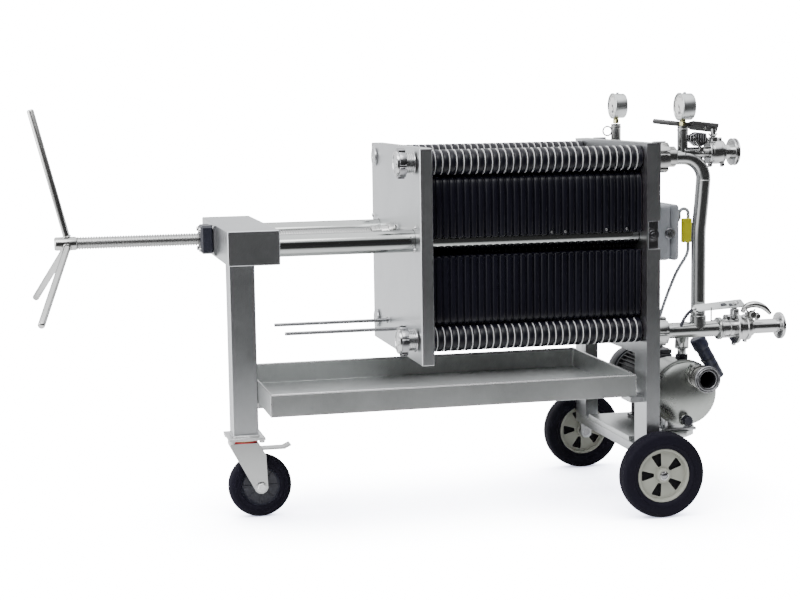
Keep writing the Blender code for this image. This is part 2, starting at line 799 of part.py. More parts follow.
group_count = SHEET_COUNT // SHEETS_IN_GROUP
sheet_at = [SHEET_FIRST + number * PLATE_PITCH - PACK_L for number in range(SHEET_COUNT)]
group_ends = [-PACK_L]
for group in range(1, group_count):
    group_ends.append(sheet_at[group * SHEETS_IN_GROUP - 1] + SHEET_THICK / 2)
group_ends.append(0.0)
for group in range(group_count):
    start = group_ends[group] + SEAT / 2
    stop = group_ends[group + 1] - SEAT / 2 - (SEAT / 2 if group == group_count - 1 else 0.0)
    middle = (start + stop) / 2
    group_at = (middle, 0.0, PACK_MID_Z)
    plates_mesh = outline_mesh(plate_outline, stop - start)
    plates = place("plates_%d" % (group + 1), plates_mesh, "plate_plastic", group_at, FACING_X)
    cuts = []
    for sheet in sheet_at[group * SHEETS_IN_GROUP:(group + 1) * SHEETS_IN_GROUP]:
        cuts += [(groove, groove_matrix(quarter, sheet - middle)) for quarter in QUARTERS]
    cut(plates, merged(cuts), group_at, FACING_X)

# Drip tray, open above
tray_x0 = POST_X + POST_HALF + TRAY_CLEAR_L
tray_x1 = -TRAY_CLEAR_R
tray_top = TRAY_FLOOR_Z + TRAY_H
tray = place(
    "tray",
    box_mesh((tray_x0, -TRAY_HALF_W, TRAY_FLOOR_Z), (tray_x1, TRAY_HALF_W, tray_top)),
    "satin_steel",
)
cut(
    tray,
    box_mesh(
        (tray_x0 + TRAY_SHEET, TRAY_SHEET - TRAY_HALF_W, TRAY_FLOOR_Z + TRAY_SHEET),
        (tray_x1 - TRAY_SHEET, TRAY_HALF_W - TRAY_SHEET, tray_top + OVERRUN),
    ),
)

# Beam under the legs, the axle welded under it, and the two trolley wheels
beam_x = HEAD_T / 2 + BEAM_SHIFT
beam = place(
    "axle_beam",
    box_mesh(
        (beam_x - BEAM_L / 2, -HEAD_HALF_W, BEAM_BOTTOM_Z), (beam_x + BEAM_L / 2, HEAD_HALF_W, LEG_FOOT_Z - SEAT)
    ),
    "satin_steel",
)
round_edges(beam, EDGE)
axle_mid = WHEEL_IN_Y + WHEEL_W + RUN_FIT
axle_steps = ((AXLE_END_R, AXLE_END_L), (AXLE_R, 2 * axle_mid), (AXLE_END_R, AXLE_END_L))
turned("axle", stepped(*axle_steps), "satin_steel", (AXLE_X, axle_mid + AXLE_END_L, WHEEL_R), TO_NEAR, SIDES)

rim_profile = [
    (RIM_HUB_R, -RIM_HUB_HALF),
    (RIM_HUB_R, -RIM_WEB_HALF),
    (RIM_BED_R, -RIM_WEB_HALF),
    (RIM_BED_R, -RIM_HALF),
    (RIM_R, -RIM_HALF),
    (RIM_R, RIM_HALF),
    (RIM_BED_R, RIM_HALF),
    (RIM_BED_R, RIM_WEB_HALF),
    (RIM_HUB_R, RIM_WEB_HALF),
    (RIM_HUB_R, RIM_HUB_HALF),
    (AXLE_R + HUB_FIT, RIM_HUB_HALF),
    (AXLE_R + HUB_FIT, -RIM_HUB_HALF),
]
tyre_half = WHEEL_W / 2
tyre_side_r = WHEEL_R - TYRE_ROUND
tyre_profile = [
    (RIM_R + SEAT, -tyre_half + TYRE_ROUND / 2),
    (RIM_R + TYRE_ROUND, -tyre_half),
    (tyre_side_r, -tyre_half),
    (WHEEL_R - TYRE_ROUND / 4, -tyre_half + TYRE_ROUND / 2),
    (WHEEL_R, -tyre_half + TYRE_ROUND),
    (WHEEL_R, tyre_half - TYRE_ROUND),
    (WHEEL_R - TYRE_ROUND / 4, tyre_half - TYRE_ROUND / 2),
    (tyre_side_r, tyre_half),
    (RIM_R + TYRE_ROUND, tyre_half),
    (RIM_R + SEAT, tyre_half - TYRE_ROUND / 2),
]
window_outline = [
    (WINDOW_IN_R, -WINDOW_IN_HALF),
    (WINDOW_OUT_R, -WINDOW_OUT_HALF),
    (WINDOW_OUT_R, WINDOW_OUT_HALF),
    (WINDOW_IN_R, WINDOW_IN_HALF),
]
window = outline_mesh(window_outline, RIM_WEB_HALF * 4)
window_turns = [Matrix.Rotation(2 * math.pi * number / WINDOW_COUNT, 4, "Z") for number in range(WINDOW_COUNT)]
windows = merged([(window, turn) for turn in window_turns])
for side_name, side in NEAR_AND_FAR:
    wheel_at = (AXLE_X, side * WHEEL_MID_Y, WHEEL_R)
    rim = turned("rim_" + side_name, rim_profile, "rim_plastic", wheel_at, TO_NEAR, FINE_SIDES)
    cut(rim, windows.copy(), wheel_at, TO_NEAR)
    turned("tyre_" + side_name, tyre_profile, "tyre_rubber", wheel_at, TO_NEAR, FINE_SIDES)

# Swivel caster under the post
caster_plate = place(
    "caster_plate",
    box_mesh(
        (POST_X - CASTER_PLATE_HALF_L, -CASTER_PLATE_HALF_W, CASTER_TOP_Z - CASTER_PLATE_T),
        (POST_X + CASTER_PLATE_HALF_L, CASTER_PLATE_HALF_W, CASTER_TOP_Z),
    ),
    "satin_steel",
)
turned("caster_race", stepped((RACE_R, RACE_L)), "satin_steel", (POST_X, 0.0, RACE_Z))

caster_axle_up = CASTER_R - FORK_TOP_Z
cheek_tip = arc((TRAIL, caster_axle_up), FORK_TIP_R, -140, 20, 5)
cheek_outline = [(-FORK_BACK, 0.0), (-FORK_BACK, -FORK_HEAD_L), *cheek_tip]
cheek_outline += [(FORK_FRONT + FORK_TIP_R, -FORK_DROP), (FORK_FRONT, 0.0)]
fork_half_w = FORK_HALF_GAP + FORK_T
fork = place(
    "caster_fork",
    box_mesh((-FORK_BACK, -fork_half_w, -FORK_HEAD_L), (FORK_FRONT, fork_half_w, 0.0)),
    "polished_steel",
    (POST_X, 0.0, FORK_TOP_Z),
)
for side_name, side in NEAR_AND_FAR:
    cheek = outline_mesh(cheek_outline, FORK_T)
    join(fork, cheek, (POST_X, side * (FORK_HALF_GAP + FORK_T / 2), FORK_TOP_Z), TO_NEAR)
    nut = rod_mesh(CASTER_NUT_R, CASTER_NUT_L + FORK_T / 2, 6)
    nut_y = side * (FORK_HALF_GAP + FORK_T / 2)
    join(fork, nut, (CASTER_X, nut_y, CASTER_R), TO_NEAR if side < 0 else TO_FAR)
caster_bolt = rod_mesh(CASTER_BOLT_R, 2 * fork_half_w - FORK_T, SMALL_SIDES)
join(fork, caster_bolt, (CASTER_X, fork_half_w - FORK_T / 2, CASTER_R), TO_NEAR)

# Brake pedal, swinging on a pin between the fork's cheeks
pedal_pin_at = (POST_X + PEDAL_PIN_X, fork_half_w - FORK_T / 2, FORK_TOP_Z - PEDAL_PIN_DROP)
join(fork, rod_mesh(PEDAL_PIN_R, 2 * fork_half_w - FORK_T, SMALL_SIDES), pedal_pin_at, TO_NEAR)
pedal_at = (pedal_pin_at[0], 0.0, pedal_pin_at[2])
pedal_profile = sleeve(PEDAL_PIN_R + RUN_FIT, (PEDAL_EYE_R, 2 * PEDAL_HALF_W))
pedal_profile = [(radius, height - PEDAL_HALF_W) for radius, height in pedal_profile]
pedal = turned("brake_pedal", pedal_profile, "satin_steel", pedal_at, TO_NEAR, SMALL_SIDES)
join(pedal, box_mesh((PEDAL_EYE_R - OVERLAP, -PEDAL_HALF_W, 0.0), (PEDAL_L, PEDAL_HALF_W, PEDAL_T)), pedal_at)
tip = box_mesh((0.0, -PEDAL_HALF_W, 0.0), (PEDAL_TIP_L, PEDAL_HALF_W, PEDAL_T))
tip.transform(Matrix.Translation((PEDAL_L - OVERLAP, 0.0, 0.0)) @ Matrix.Rotation(-PEDAL_TIP_TURN, 4, "Y"))
join(pedal, tip, pedal_at)

caster_tyre_half = CASTER_W / 2
caster_tyre_profile = [
    (CASTER_HUB_R + SEAT, -caster_tyre_half),
    (CASTER_R - TYRE_ROUND, -caster_tyre_half),
    (CASTER_R - TYRE_ROUND / 4, -caster_tyre_half + TYRE_ROUND / 2),
    (CASTER_R, -caster_tyre_half + TYRE_ROUND),
    (CASTER_R, caster_tyre_half - TYRE_ROUND),
    (CASTER_R - TYRE_ROUND / 4, caster_tyre_half - TYRE_ROUND / 2),
    (CASTER_R - TYRE_ROUND, caster_tyre_half),
    (CASTER_HUB_R + SEAT, caster_tyre_half),
]
caster_hub_profile = [
    (CASTER_BOSS_R, -CASTER_HUB_HALF),
    (CASTER_BOSS_R, RIM_WEB_HALF - caster_tyre_half),
    (CASTER_HUB_R, RIM_WEB_HALF - caster_tyre_half),
    (CASTER_HUB_R, caster_tyre_half - RIM_WEB_HALF),
    (CASTER_BOSS_R, caster_tyre_half - RIM_WEB_HALF),
    (CASTER_BOSS_R, CASTER_HUB_HALF),
    (CASTER_BOLT_R + HUB_FIT, CASTER_HUB_HALF),
    (CASTER_BOLT_R + HUB_FIT, -CASTER_HUB_HALF),
]
caster_at = (CASTER_X, 0.0, CASTER_R)
turned("caster_tyre", caster_tyre_profile, "tyre_rubber", caster_at, TO_NEAR, FINE_SIDES)
turned("caster_hub", caster_hub_profile, "block_plastic", caster_at, TO_NEAR, FINE_SIDES)


# Base plate for the pump: a sheet with its edges folded down, resting on the beam
def base_outline(inset):
    """The plate's outline, its two outer corners cut off."""
    near = BASE_HALF_W - inset
    right = BASE_X1 - inset
    return [
        (BASE_X0 + inset, -near),
        (right - BASE_CORNER, -near),
        (right, -near + BASE_CORNER),
        (right, near - BASE_CORNER),
        (right - BASE_CORNER, near),
        (BASE_X0 + inset, near),
    ]


base_h = BASE_TOP_Z - BASE_BOTTOM_Z
base_mid_z = (BASE_TOP_Z + BASE_BOTTOM_Z) / 2
base_plate = place("base_plate", outline_mesh(base_outline(0.0), base_h), "satin_steel", (0.0, 0.0, base_mid_z))
cut(base_plate, outline_mesh(base_outline(BASE_SHEET), base_h), (0.0, 0.0, base_mid_z - BASE_SHEET))

# Pump barrel with a dished front, its bosses and its foot
pump_l = PUMP_BACK_Y - PUMP_FRONT_Y
pump_profile = [(0.0, 0.0)]
pump_profile += [(PUMP_R * out, PUMP_DISH * back) for out, back in DISH_SHARES]
pump_profile += [
    (PUMP_R, PUMP_DISH * 2),
    (PUMP_RIM_R, PUMP_DISH * 2),
    (PUMP_RIM_R, PUMP_DISH * 2 + PUMP_RIM_L),
    (PUMP_R, PUMP_DISH * 2 + PUMP_RIM_L),
    (PUMP_R, pump_l),
    (LANTERN_R, pump_l),
    (LANTERN_R, MOTOR_Y0 - SEAT - PUMP_FRONT_Y),
    (0.0, MOTOR_Y0 - SEAT - PUMP_FRONT_Y),
]
pump_at = (PUMP_X, PUMP_FRONT_Y, PUMP_Z)
pump = turned("pump_body", pump_profile, "polished_steel", pump_at, TO_FAR, FINE_SIDES)
boss_y = PUMP_FRONT_Y + PUMP_DISH * 2
join(pump, rod_mesh(PORT_RING_R, boss_y - PUMP_FRONT_Y), (PORT_X, boss_y, PORT_Z), TO_NEAR)
join(pump, rod_mesh(DRAIN_R, boss_y - PUMP_FRONT_Y, SMALL_SIDES), (DRAIN_X, boss_y, DRAIN_Z), TO_NEAR)
outlet_boss_z = PUMP_Z + PUMP_R + OUTLET_RISE
join(pump, rod_mesh(OUTLET_NUT_R - EDGE, outlet_boss_z - PUMP_Z), (OUTLET_X, OUTLET_Y, PUMP_Z))
foot_low = (PUMP_X - PUMP_FOOT_HALF_W, PUMP_FOOT_Y0, BASE_TOP_Z + SEAT)
foot_high = (PUMP_X + PUMP_FOOT_HALF_W, PUMP_FOOT_Y1, PUMP_Z - LANTERN_R)
join(pump, box_mesh((foot_low[0], foot_low[1], foot_low[2]), (foot_high[0], foot_high[1], foot_high[2])))
arm = box_mesh((PUMP_R - OVERLAP * 2, -ARM_HALF, -ARM_HALF), (HOUSING_OUT - HOUSING_R - SEAT, ARM_HALF, ARM_HALF))
arm.transform(Matrix.Rotation(-HOUSING_LEAN, 4, "Y"))
join(pump, arm, (PUMP_X, HOUSING_Y, PUMP_Z))

drain_steps = stepped((DRAIN_R, DRAIN_L), (DRAIN_GRIP_R, DRAIN_GRIP_L))
turned("drain_plug", drain_steps, "block_plastic", (DRAIN_X, PUMP_FRONT_Y - SEAT, DRAIN_Z), TO_NEAR, SMALL_SIDES)

port_l = PUMP_FRONT_Y - SEAT - PORT_FACE_Y
port_tube_l = (port_l - 2 * PORT_RING_L - PORT_FLANGE_T) / 2
port_steps = [
    (PORT_RING_R, PORT_RING_L),
    (PORT_TUBE_R, port_tube_l),
    (PORT_RING_R, PORT_RING_L),
    (PORT_TUBE_R, port_tube_l),
    (PORT_FLANGE_R, PORT_FLANGE_T),
]
port_at = (PORT_X, PUMP_FRONT_Y - SEAT, PORT_Z)
turned("pump_port", sleeve(PORT_BORE_R, *port_steps), "polished_steel", port_at, TO_NEAR, SIDES)

# Motor with cooling fins, terminal box and foot, and its fan cover
fins = []
for number in range(MOTOR_FINS):
    quarter = 2 * math.pi / MOTOR_FINS / 4
    turn = number * quarter * 4
    for step, radius in ((0, MOTOR_R), (1, MOTOR_R), (2, MOTOR_CORE_R), (3, MOTOR_CORE_R)):
        fins.append((radius * math.cos(turn + step * quarter), radius * math.sin(turn + step * quarter)))
motor_mid_y = (MOTOR_Y0 + MOTOR_Y1) / 2
motor = place(
    "motor", outline_mesh(fins, MOTOR_Y1 - MOTOR_Y0), "motor_grey", (PUMP_X, motor_mid_y, PUMP_Z), TO_NEAR
)
motor_foot_low = (PUMP_X - MOTOR_FOOT_HALF_L, MOTOR_FOOT_Y0, BASE_TOP_Z + SEAT)
join(motor, box_mesh(motor_foot_low, (PUMP_X + MOTOR_FOOT_HALF_L, MOTOR_FOOT_Y1, PUMP_Z - MOTOR_CORE_R / 2)))
terminal_low = (PUMP_X - TERMINAL_HALF, MOTOR_FOOT_Y0, PUMP_Z)
terminal_z = PUMP_Z + MOTOR_R + TERMINAL_H
join(motor, box_mesh(terminal_low, (PUMP_X + TERMINAL_HALF, MOTOR_FOOT_Y1, terminal_z)))
cover = stepped((MOTOR_R + EDGE, COVER_L - EDGE * 2), (MOTOR_R - EDGE, EDGE * 2))
turned("motor_cover", cover, "motor_grey", (PUMP_X, MOTOR_Y1 + SEAT, PUMP_Z), TO_FAR)

# Capacitor housing that leans beside the pump
housing_out = (math.cos(HOUSING_LEAN), math.sin(HOUSING_LEAN))
housing_at = (
    PUMP_X + HOUSING_OUT * housing_out[0] - HOUSING_BACK * housing_out[1],
    HOUSING_Y,
    PUMP_Z + HOUSING_OUT * housing_out[1] + HOUSING_BACK * housing_out[0],
)
housing = stepped((HOUSING_R, HOUSING_L), (HOUSING_CAP_R, HOUSING_CAP_L))
turned("capacitor", housing, "slate_plastic", housing_at, (0.0, math.pi - HOUSING_LEAN, 0.0))

# Upper line: ring nut, riser with its gauge stub and valve stub
turned(
    "ring_nut_upper",
    stepped((RING_NUT_R, RING_NUT_L), (SLEEVE_R, SLEEVE_L)),
    "polished_steel",
    (HEAD_T + SEAT, -PORT_HALF, PORT_UP_Z),
    ALONG_X,
)
riser_x0 = HEAD_T + 2 * SEAT + RING_NUT_L + SLEEVE_L
bend_x = RISER_X - BEND_R
riser_foot = MANIFOLD_Z + BRANCH_H + SEAT
riser_route = [(riser_x0, -PORT_HALF, PIPE_Z)]
for across, up in arc((bend_x, PIPE_Z - BEND_R), BEND_R, 90, 0, BEND_STEPS):
    riser_route.append((across, -PORT_HALF, up))
riser_route.append((RISER_X, -PORT_HALF, riser_foot))
riser = place("riser_pipe", tube_mesh(riser_route, PIPE_R, 4), "polished_steel", smooth=True)
join(riser, rod_mesh(UPPER_STUB_R, UPPER_STUB_X - bend_x), (bend_x, -PORT_HALF, UPPER_Z), ALONG_X)
join(riser, rod_mesh(STUB_R, STUB_TOP_Z - PIPE_Z), (GAUGE_NEAR_X, -PORT_HALF, PIPE_Z))
join(riser, rod_mesh(STUB_CLAMP_R, STUB_CLAMP_T), (GAUGE_NEAR_X, -PORT_HALF, STUB_CLAMP_Z))

# Upper valve with its ferrule, and its lever
upper_steps = [
    (CLAMP_R, CLAMP_T),
    (VALVE_R, UPPER_BODY_L),
    (CLAMP_R, CLAMP_T),
    (PIPE_R, UPPER_PIPE_L),
    (FERRULE_R, CLAMP_T / 2),
    (CLAMP_R, CLAMP_T / 2),
    (FERRULE_R, CLAMP_T / 2),
]
upper_x0 = UPPER_STUB_X + SEAT
upper_at = (upper_x0, -PORT_HALF, UPPER_Z)
upper_valve = turned("upper_valve", stepped(*upper_steps), "polished_steel", upper_at, ALONG_X)
upper_end_x = upper_x0 + sum(length for radius, length in upper_steps)
bore_l = UPPER_PIPE_L + OVERRUN
cut(upper_valve, rod_mesh(PIPE_R - EDGE, bore_l), (upper_end_x - bore_l + OVERRUN, -PORT_HALF, UPPER_Z), ALONG_X)
upper_stem_x = upper_x0 + CLAMP_T + UPPER_BODY_L / 2
upper_stem_l = UPPER_LEVER_Z - UPPER_Z - LEVER_GAP
join(upper_valve, rod_mesh(STEM_R, upper_stem_l, SMALL_SIDES), (upper_stem_x, -PORT_HALF, UPPER_Z))
join(upper_valve, rod_mesh(STEM_COLLAR_R, VALVE_R + STEM_COLLAR_H, SIDES), (upper_stem_x, -PORT_HALF, UPPER_Z))

upper_lever_at = (upper_stem_x, -PORT_HALF, UPPER_LEVER_Z)
upper_turn = (0.0, 0.0, -UPPER_LEVER_TURN)
upper_lever = place(
    "upper_lever",
    box_mesh((-UPPER_PLATE_L, -LEVER_HALF_W, 0.0), (LEVER_HALF_W, LEVER_HALF_W, LEVER_T)),
    "satin_steel",
    upper_lever_at,
    upper_turn,
)
grip = rod_mesh(UPPER_GRIP_R, UPPER_GRIP_L, SMALL_SIDES)
grip.transform(Matrix.Translation((OVERRUN - UPPER_PLATE_L, 0.0, LEVER_T / 2)) @ Matrix.Rotation(-math.pi / 2, 4, "Y"))
join(upper_lever, grip, upper_lever_at, upper_turn)
join(upper_lever, rod_mesh(LEVER_BOLT_R, LEVER_T + LEVER_BOLT_L, 6), upper_lever_at, upper_turn)

# Lower line: union nut, manifold with the riser's branch and the pump's outlet pipe
manifold_x0 = HEAD_T + SEAT
manifold_pipe_l = MANIFOLD_X1 - manifold_x0 - RING_NUT_L - CLAMP_T
manifold_steps = ((RING_NUT_R - EDGE, RING_NUT_L), (MANIFOLD_R, manifold_pipe_l), (CLAMP_R, CLAMP_T))
manifold_at = (manifold_x0, -PORT_HALF, MANIFOLD_Z)
manifold = turned("manifold", stepped(*manifold_steps), "polished_steel", manifold_at, ALONG_X)
join(manifold, rod_mesh(PIPE_R + EDGE, BRANCH_H), (RISER_X, -PORT_HALF, MANIFOLD_Z))
outlet_foot = outlet_boss_z + OUTLET_NUT_L + 2 * SEAT
outlet_mid_y = OUTLET_Y - OUTLET_BEND
outlet_route = [
    (OUTLET_X, OUTLET_Y, outlet_foot),
    (OUTLET_X, OUTLET_Y, outlet_foot + OVERRUN),
    (OUTLET_X, outlet_mid_y, MANIFOLD_Z - EDGE),
    (OUTLET_X, -PORT_HALF, MANIFOLD_Z),
]
join(manifold, tube_mesh(outlet_route, OUTLET_R, 3))
outlet_nut = stepped((OUTLET_NUT_R, OUTLET_NUT_L))
turned("outlet_nut", outlet_nut, "block_plastic", (OUTLET_X, OUTLET_Y, outlet_boss_z + SEAT))

# Lower valve with its outlet, and its lever
lower_x0 = MANIFOLD_X1 + SEAT
lower_steps = [
    (CLAMP_R, CLAMP_T / 2),
    (LOWER_BODY_R, LOWER_BODY_L),
    (CLAMP_R, CLAMP_T / 2),
    (PIPE_R, LOWER_NECK_L),
    (LOWER_RING_R, LOWER_RING_T),
    (PIPE_R, LOWER_PIPE_L),
    (FERRULE_R, CLAMP_T),
]
lower_l = sum(length for radius, length in lower_steps)
lower_at = (lower_x0, -PORT_HALF, MANIFOLD_Z)
lower_valve = turned("lower_valve", stepped(*lower_steps), "polished_steel", lower_at, ALONG_X)
lower_end_x = lower_x0 + lower_l
lower_bore_l = LOWER_PIPE_L + OVERRUN
lower_bore_at = (lower_end_x - lower_bore_l + OVERRUN, -PORT_HALF, MANIFOLD_Z)
cut(lower_valve, rod_mesh(PIPE_R - EDGE, lower_bore_l), lower_bore_at, ALONG_X)
lower_stem_x = lower_x0 + CLAMP_T / 2 + LOWER_BODY_L / 2
lower_stem_l = LOWER_LEVER_Z - MANIFOLD_Z - LEVER_GAP
join(lower_valve, rod_mesh(STEM_R, lower_stem_l, SMALL_SIDES), (lower_stem_x, -PORT_HALF, MANIFOLD_Z))
collar_l = LOWER_BODY_R + STEM_COLLAR_H
join(lower_valve, rod_mesh(STEM_COLLAR_R, collar_l, SIDES), (lower_stem_x, -PORT_HALF, MANIFOLD_Z))

lower_lever_at = (lower_stem_x, -PORT_HALF, LOWER_LEVER_Z)
lower_turn = (0.0, 0.0, LOWER_LEVER_TURN)
lower_lever = place(
    "lower_lever",
    box_mesh((-LOWER_LEVER_L, -LEVER_HALF_W, 0.0), (LOWER_LEVER_BACK, LEVER_HALF_W, LEVER_T)),
    "satin_steel",
    lower_lever_at,
    lower_turn,
)
join(lower_lever, rod_mesh(LEVER_BOLT_R, LEVER_T + LEVER_BOLT_L, 6), lower_lever_at, lower_turn)

# Far union with its gauge stub
far_steps = ((RING_NUT_R, RING_NUT_L), (FAR_PIPE_R, FAR_PIPE_L), (SLEEVE_R, CLAMP_T))
far_at = (HEAD_T + SEAT, PORT_HALF, PORT_UP_Z)
far_union = turned("far_union", stepped(*far_steps), "polished_steel", far_at, ALONG_X)
join(far_union, rod_mesh(STUB_R, STUB_TOP_Z - PORT_UP_Z), (GAUGE_FAR_X, PORT_HALF, PORT_UP_Z))
join(far_union, rod_mesh(STUB_CLAMP_R, STUB_CLAMP_T), (GAUGE_FAR_X, PORT_HALF, STUB_CLAMP_Z))


# Pressure gauges, their dials towards the hand wheel
def gauge(name, stem_x, y):
    """A drum on a stem, with a small plug on top."""
    face_x = stem_x - GAUGE_STEM_IN
    drum = stepped((GAUGE_R, GAUGE_RIM_T), (GAUGE_BODY_R, GAUGE_T - GAUGE_RIM_T))
    piece = turned(name, drum, "gauge_white", (face_x, y, GAUGE_Z), ALONG_X)
    join(piece, rod_mesh(GAUGE_NECK_R, GAUGE_Z - STUB_TOP_Z - SEAT, SMALL_SIDES), (stem_x, y, STUB_TOP_Z + SEAT))
    join(piece, rod_mesh(GAUGE_NUT_R, GAUGE_NUT_L, 6), (stem_x, y, STUB_TOP_Z + SEAT))
    join(piece, rod_mesh(GAUGE_PLUG_R, GAUGE_BODY_R + GAUGE_PLUG_H, SMALL_SIDES), (stem_x, y, GAUGE_Z))


gauge("gauge_near", GAUGE_NEAR_X, -PORT_HALF)
gauge("gauge_far", GAUGE_FAR_X, PORT_HALF)

# Switch box with its knob, the motor's cable and the tag on it
box_x0 = HEAD_T + SEAT
box_x1 = box_x0 + BOX_L
switch_box = place(
    "switch_box", box_mesh((box_x0, BOX_Y0, BOX_LOW_Z), (box_x1, BOX_Y1, BOX_HIGH_Z)), "box_grey"
)
round_edges(switch_box, BOX_EDGE)
join(switch_box, rod_mesh(KNOB_R, KNOB_L + BOX_EDGE), (box_x1 - BOX_EDGE, KNOB_Y, KNOB_Z), ALONG_X)

terminal_x = PUMP_X + TERMINAL_HALF / 2
terminal_y = (MOTOR_FOOT_Y0 + MOTOR_FOOT_Y1) / 2
cable_route = [(box_x1 + SEAT, CABLE_Y, CABLE_Z)]
for across, up in arc((box_x1 + CABLE_ROOM, CABLE_Z + CABLE_RISE), CABLE_ROOM, 180, 0, BEND_STEPS):
    cable_route.append((across, CABLE_Y, up))
cable_route[1] = (box_x1 + CABLE_R + OVERLAP, CABLE_Y, CABLE_Z)
cable_route += [
    (box_x1 + 2 * CABLE_ROOM, CABLE_Y, CABLE_LOW_Z),
    (box_x1 + CABLE_ROOM, CABLE_Y / 2, CABLE_LOW_Z - CABLE_SAG),
    (terminal_x, terminal_y, terminal_z + CABLE_SAG),
    (terminal_x, terminal_y, terminal_z + SEAT),
]
place("cable", tube_mesh(cable_route, CABLE_R, 1), "cable_grey", smooth=True)
tag_x = box_x1 + 2 * CABLE_ROOM
tag = place(
    "cable_tag",
    box_mesh(
        (tag_x - TAG_HALF_W, CABLE_Y - CABLE_R - SEAT - 2 * TAG_HALF_T, TAG_Z - TAG_HALF_L),
        (tag_x + TAG_HALF_W, CABLE_Y - CABLE_R - SEAT, TAG_Z + TAG_HALF_L),
    ),
    "tag_yellow",
)
round_edges(tag, TAG_EDGE)
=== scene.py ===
"""Looks of the plate filter press: materials, fine shapes, camera and studio light."""
import random
from math import asin, atan2, copysign, cos, degrees, hypot, pi, radians, sin, sqrt, tan

import bmesh
import bpy
from mathutils import Matrix, Vector


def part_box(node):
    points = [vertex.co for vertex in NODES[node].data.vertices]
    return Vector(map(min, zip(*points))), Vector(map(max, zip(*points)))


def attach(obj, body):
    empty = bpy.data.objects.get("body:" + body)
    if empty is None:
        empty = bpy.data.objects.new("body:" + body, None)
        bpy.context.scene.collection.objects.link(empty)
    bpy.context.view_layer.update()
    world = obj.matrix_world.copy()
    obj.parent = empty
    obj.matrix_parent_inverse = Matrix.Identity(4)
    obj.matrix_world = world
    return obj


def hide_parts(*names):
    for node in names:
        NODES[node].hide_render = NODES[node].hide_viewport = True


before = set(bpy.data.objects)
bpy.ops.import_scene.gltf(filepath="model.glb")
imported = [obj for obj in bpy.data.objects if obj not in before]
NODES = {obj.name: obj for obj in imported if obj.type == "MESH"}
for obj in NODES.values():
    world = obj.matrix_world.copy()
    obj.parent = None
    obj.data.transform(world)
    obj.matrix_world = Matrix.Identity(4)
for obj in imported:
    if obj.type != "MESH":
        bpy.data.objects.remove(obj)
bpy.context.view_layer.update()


# ---------------------------------------------------------------- materials
def feed(nt, n, values):
    """Set a shader node's inputs: a socket is linked, anything else becomes the input's value."""
    for key, value in values.items():
        if isinstance(value, bpy.types.NodeSocket):
            nt.links.new(value, n.inputs[key])
        else:
            n.inputs[key].default_value = value


def shader_node(nt, kind, values=None, **settings):
    """Add a shader node with its settings and inputs."""
    n = nt.nodes.new("ShaderNode" + kind)
    for key, value in settings.items():
        setattr(n, key, value)
    feed(nt, n, values or {})
    return n


def multiply_add(nt, *values):
    return shader_node(nt, "Math", dict(enumerate(values)), operation="MULTIPLY_ADD").outputs[0]


def noise(nt, stretch, scale, detail, distort=0.0):
    """Noise over the object's own coordinates, drawn out by a stretch along each axis."""
    place = shader_node(nt, "Mapping", {"Vector": shader_node(nt, "TexCoord").outputs["Object"], "Scale": stretch})
    values = {"Vector": place.outputs["Vector"], "Scale": scale, "Detail": detail, "Roughness": 0.6,
              "Distortion": distort}
    return shader_node(nt, "TexNoise", values).outputs["Fac"]


def ramp(nt, fac, stops):
    r = shader_node(nt, "ValToRGB", {"Fac": fac})
    for element, (position, colour) in zip(r.color_ramp.elements, stops):
        element.position = position
        element.color = (*colour, 1.0)
    return r.outputs["Color"]


def new_material(name):
    mat = bpy.data.materials.new(name)
    mat.use_nodes = True
    return mat, mat.node_tree, mat.node_tree.nodes["Principled BSDF"]


def surface(nt, shader, tone, base, darker, lighter, stop, grain, bump, values):
    """Colour that drifts with a tone, and a fine bump from a grain."""
    dark = [c * (1.0 - darker) for c in base]
    light = [min(1.0, c * (1.0 + lighter)) for c in base]
    relief = shader_node(nt, "Bump", {"Strength": bump, "Distance": 0.001, "Height": grain})
    values = {"Base Color": ramp(nt, tone, [(0.3, dark), (stop, light)]), "Normal": relief.outputs["Normal"], **values}
    feed(nt, shader, values)


def steel(name, base, rough, stretch, scale, bump, smudge=0.10):
    """Stainless steel: fine grinding lines, smudges and slightly uneven roughness."""
    mat, nt, shader = new_material(name)
    grain = noise(nt, stretch, scale, 6.0)
    tone = noise(nt, EVEN, 5.0, 5.0, 0.4)
    span = rough[1] - rough[0]
    sheen = multiply_add(nt, tone, span * 0.7, multiply_add(nt, grain, span, rough[0]))
    surface(nt, shader, tone, base, smudge, smudge * 0.6, 0.7, grain, bump, {"Roughness": sheen, "Metallic": 1.0})
    return mat


def plastic(name, base, rough=(0.35, 0.5), vary=0.15, scale=120.0, bump=0.05, spec=0.5):
    """Moulded plastic or rubber: fine grain, uneven sheen, slight colour drift."""
    mat, nt, shader = new_material(name)
    tone = noise(nt, EVEN, 6.0, 4.0, 0.3)
    sheen = multiply_add(nt, tone, rough[1] - rough[0], rough[0])
    surface(nt, shader, tone, base, vary, vary, 0.72, noise(nt, EVEN, scale, 5.0), bump,
            {"Roughness": sheen, "Specular IOR Level": spec})
    return mat


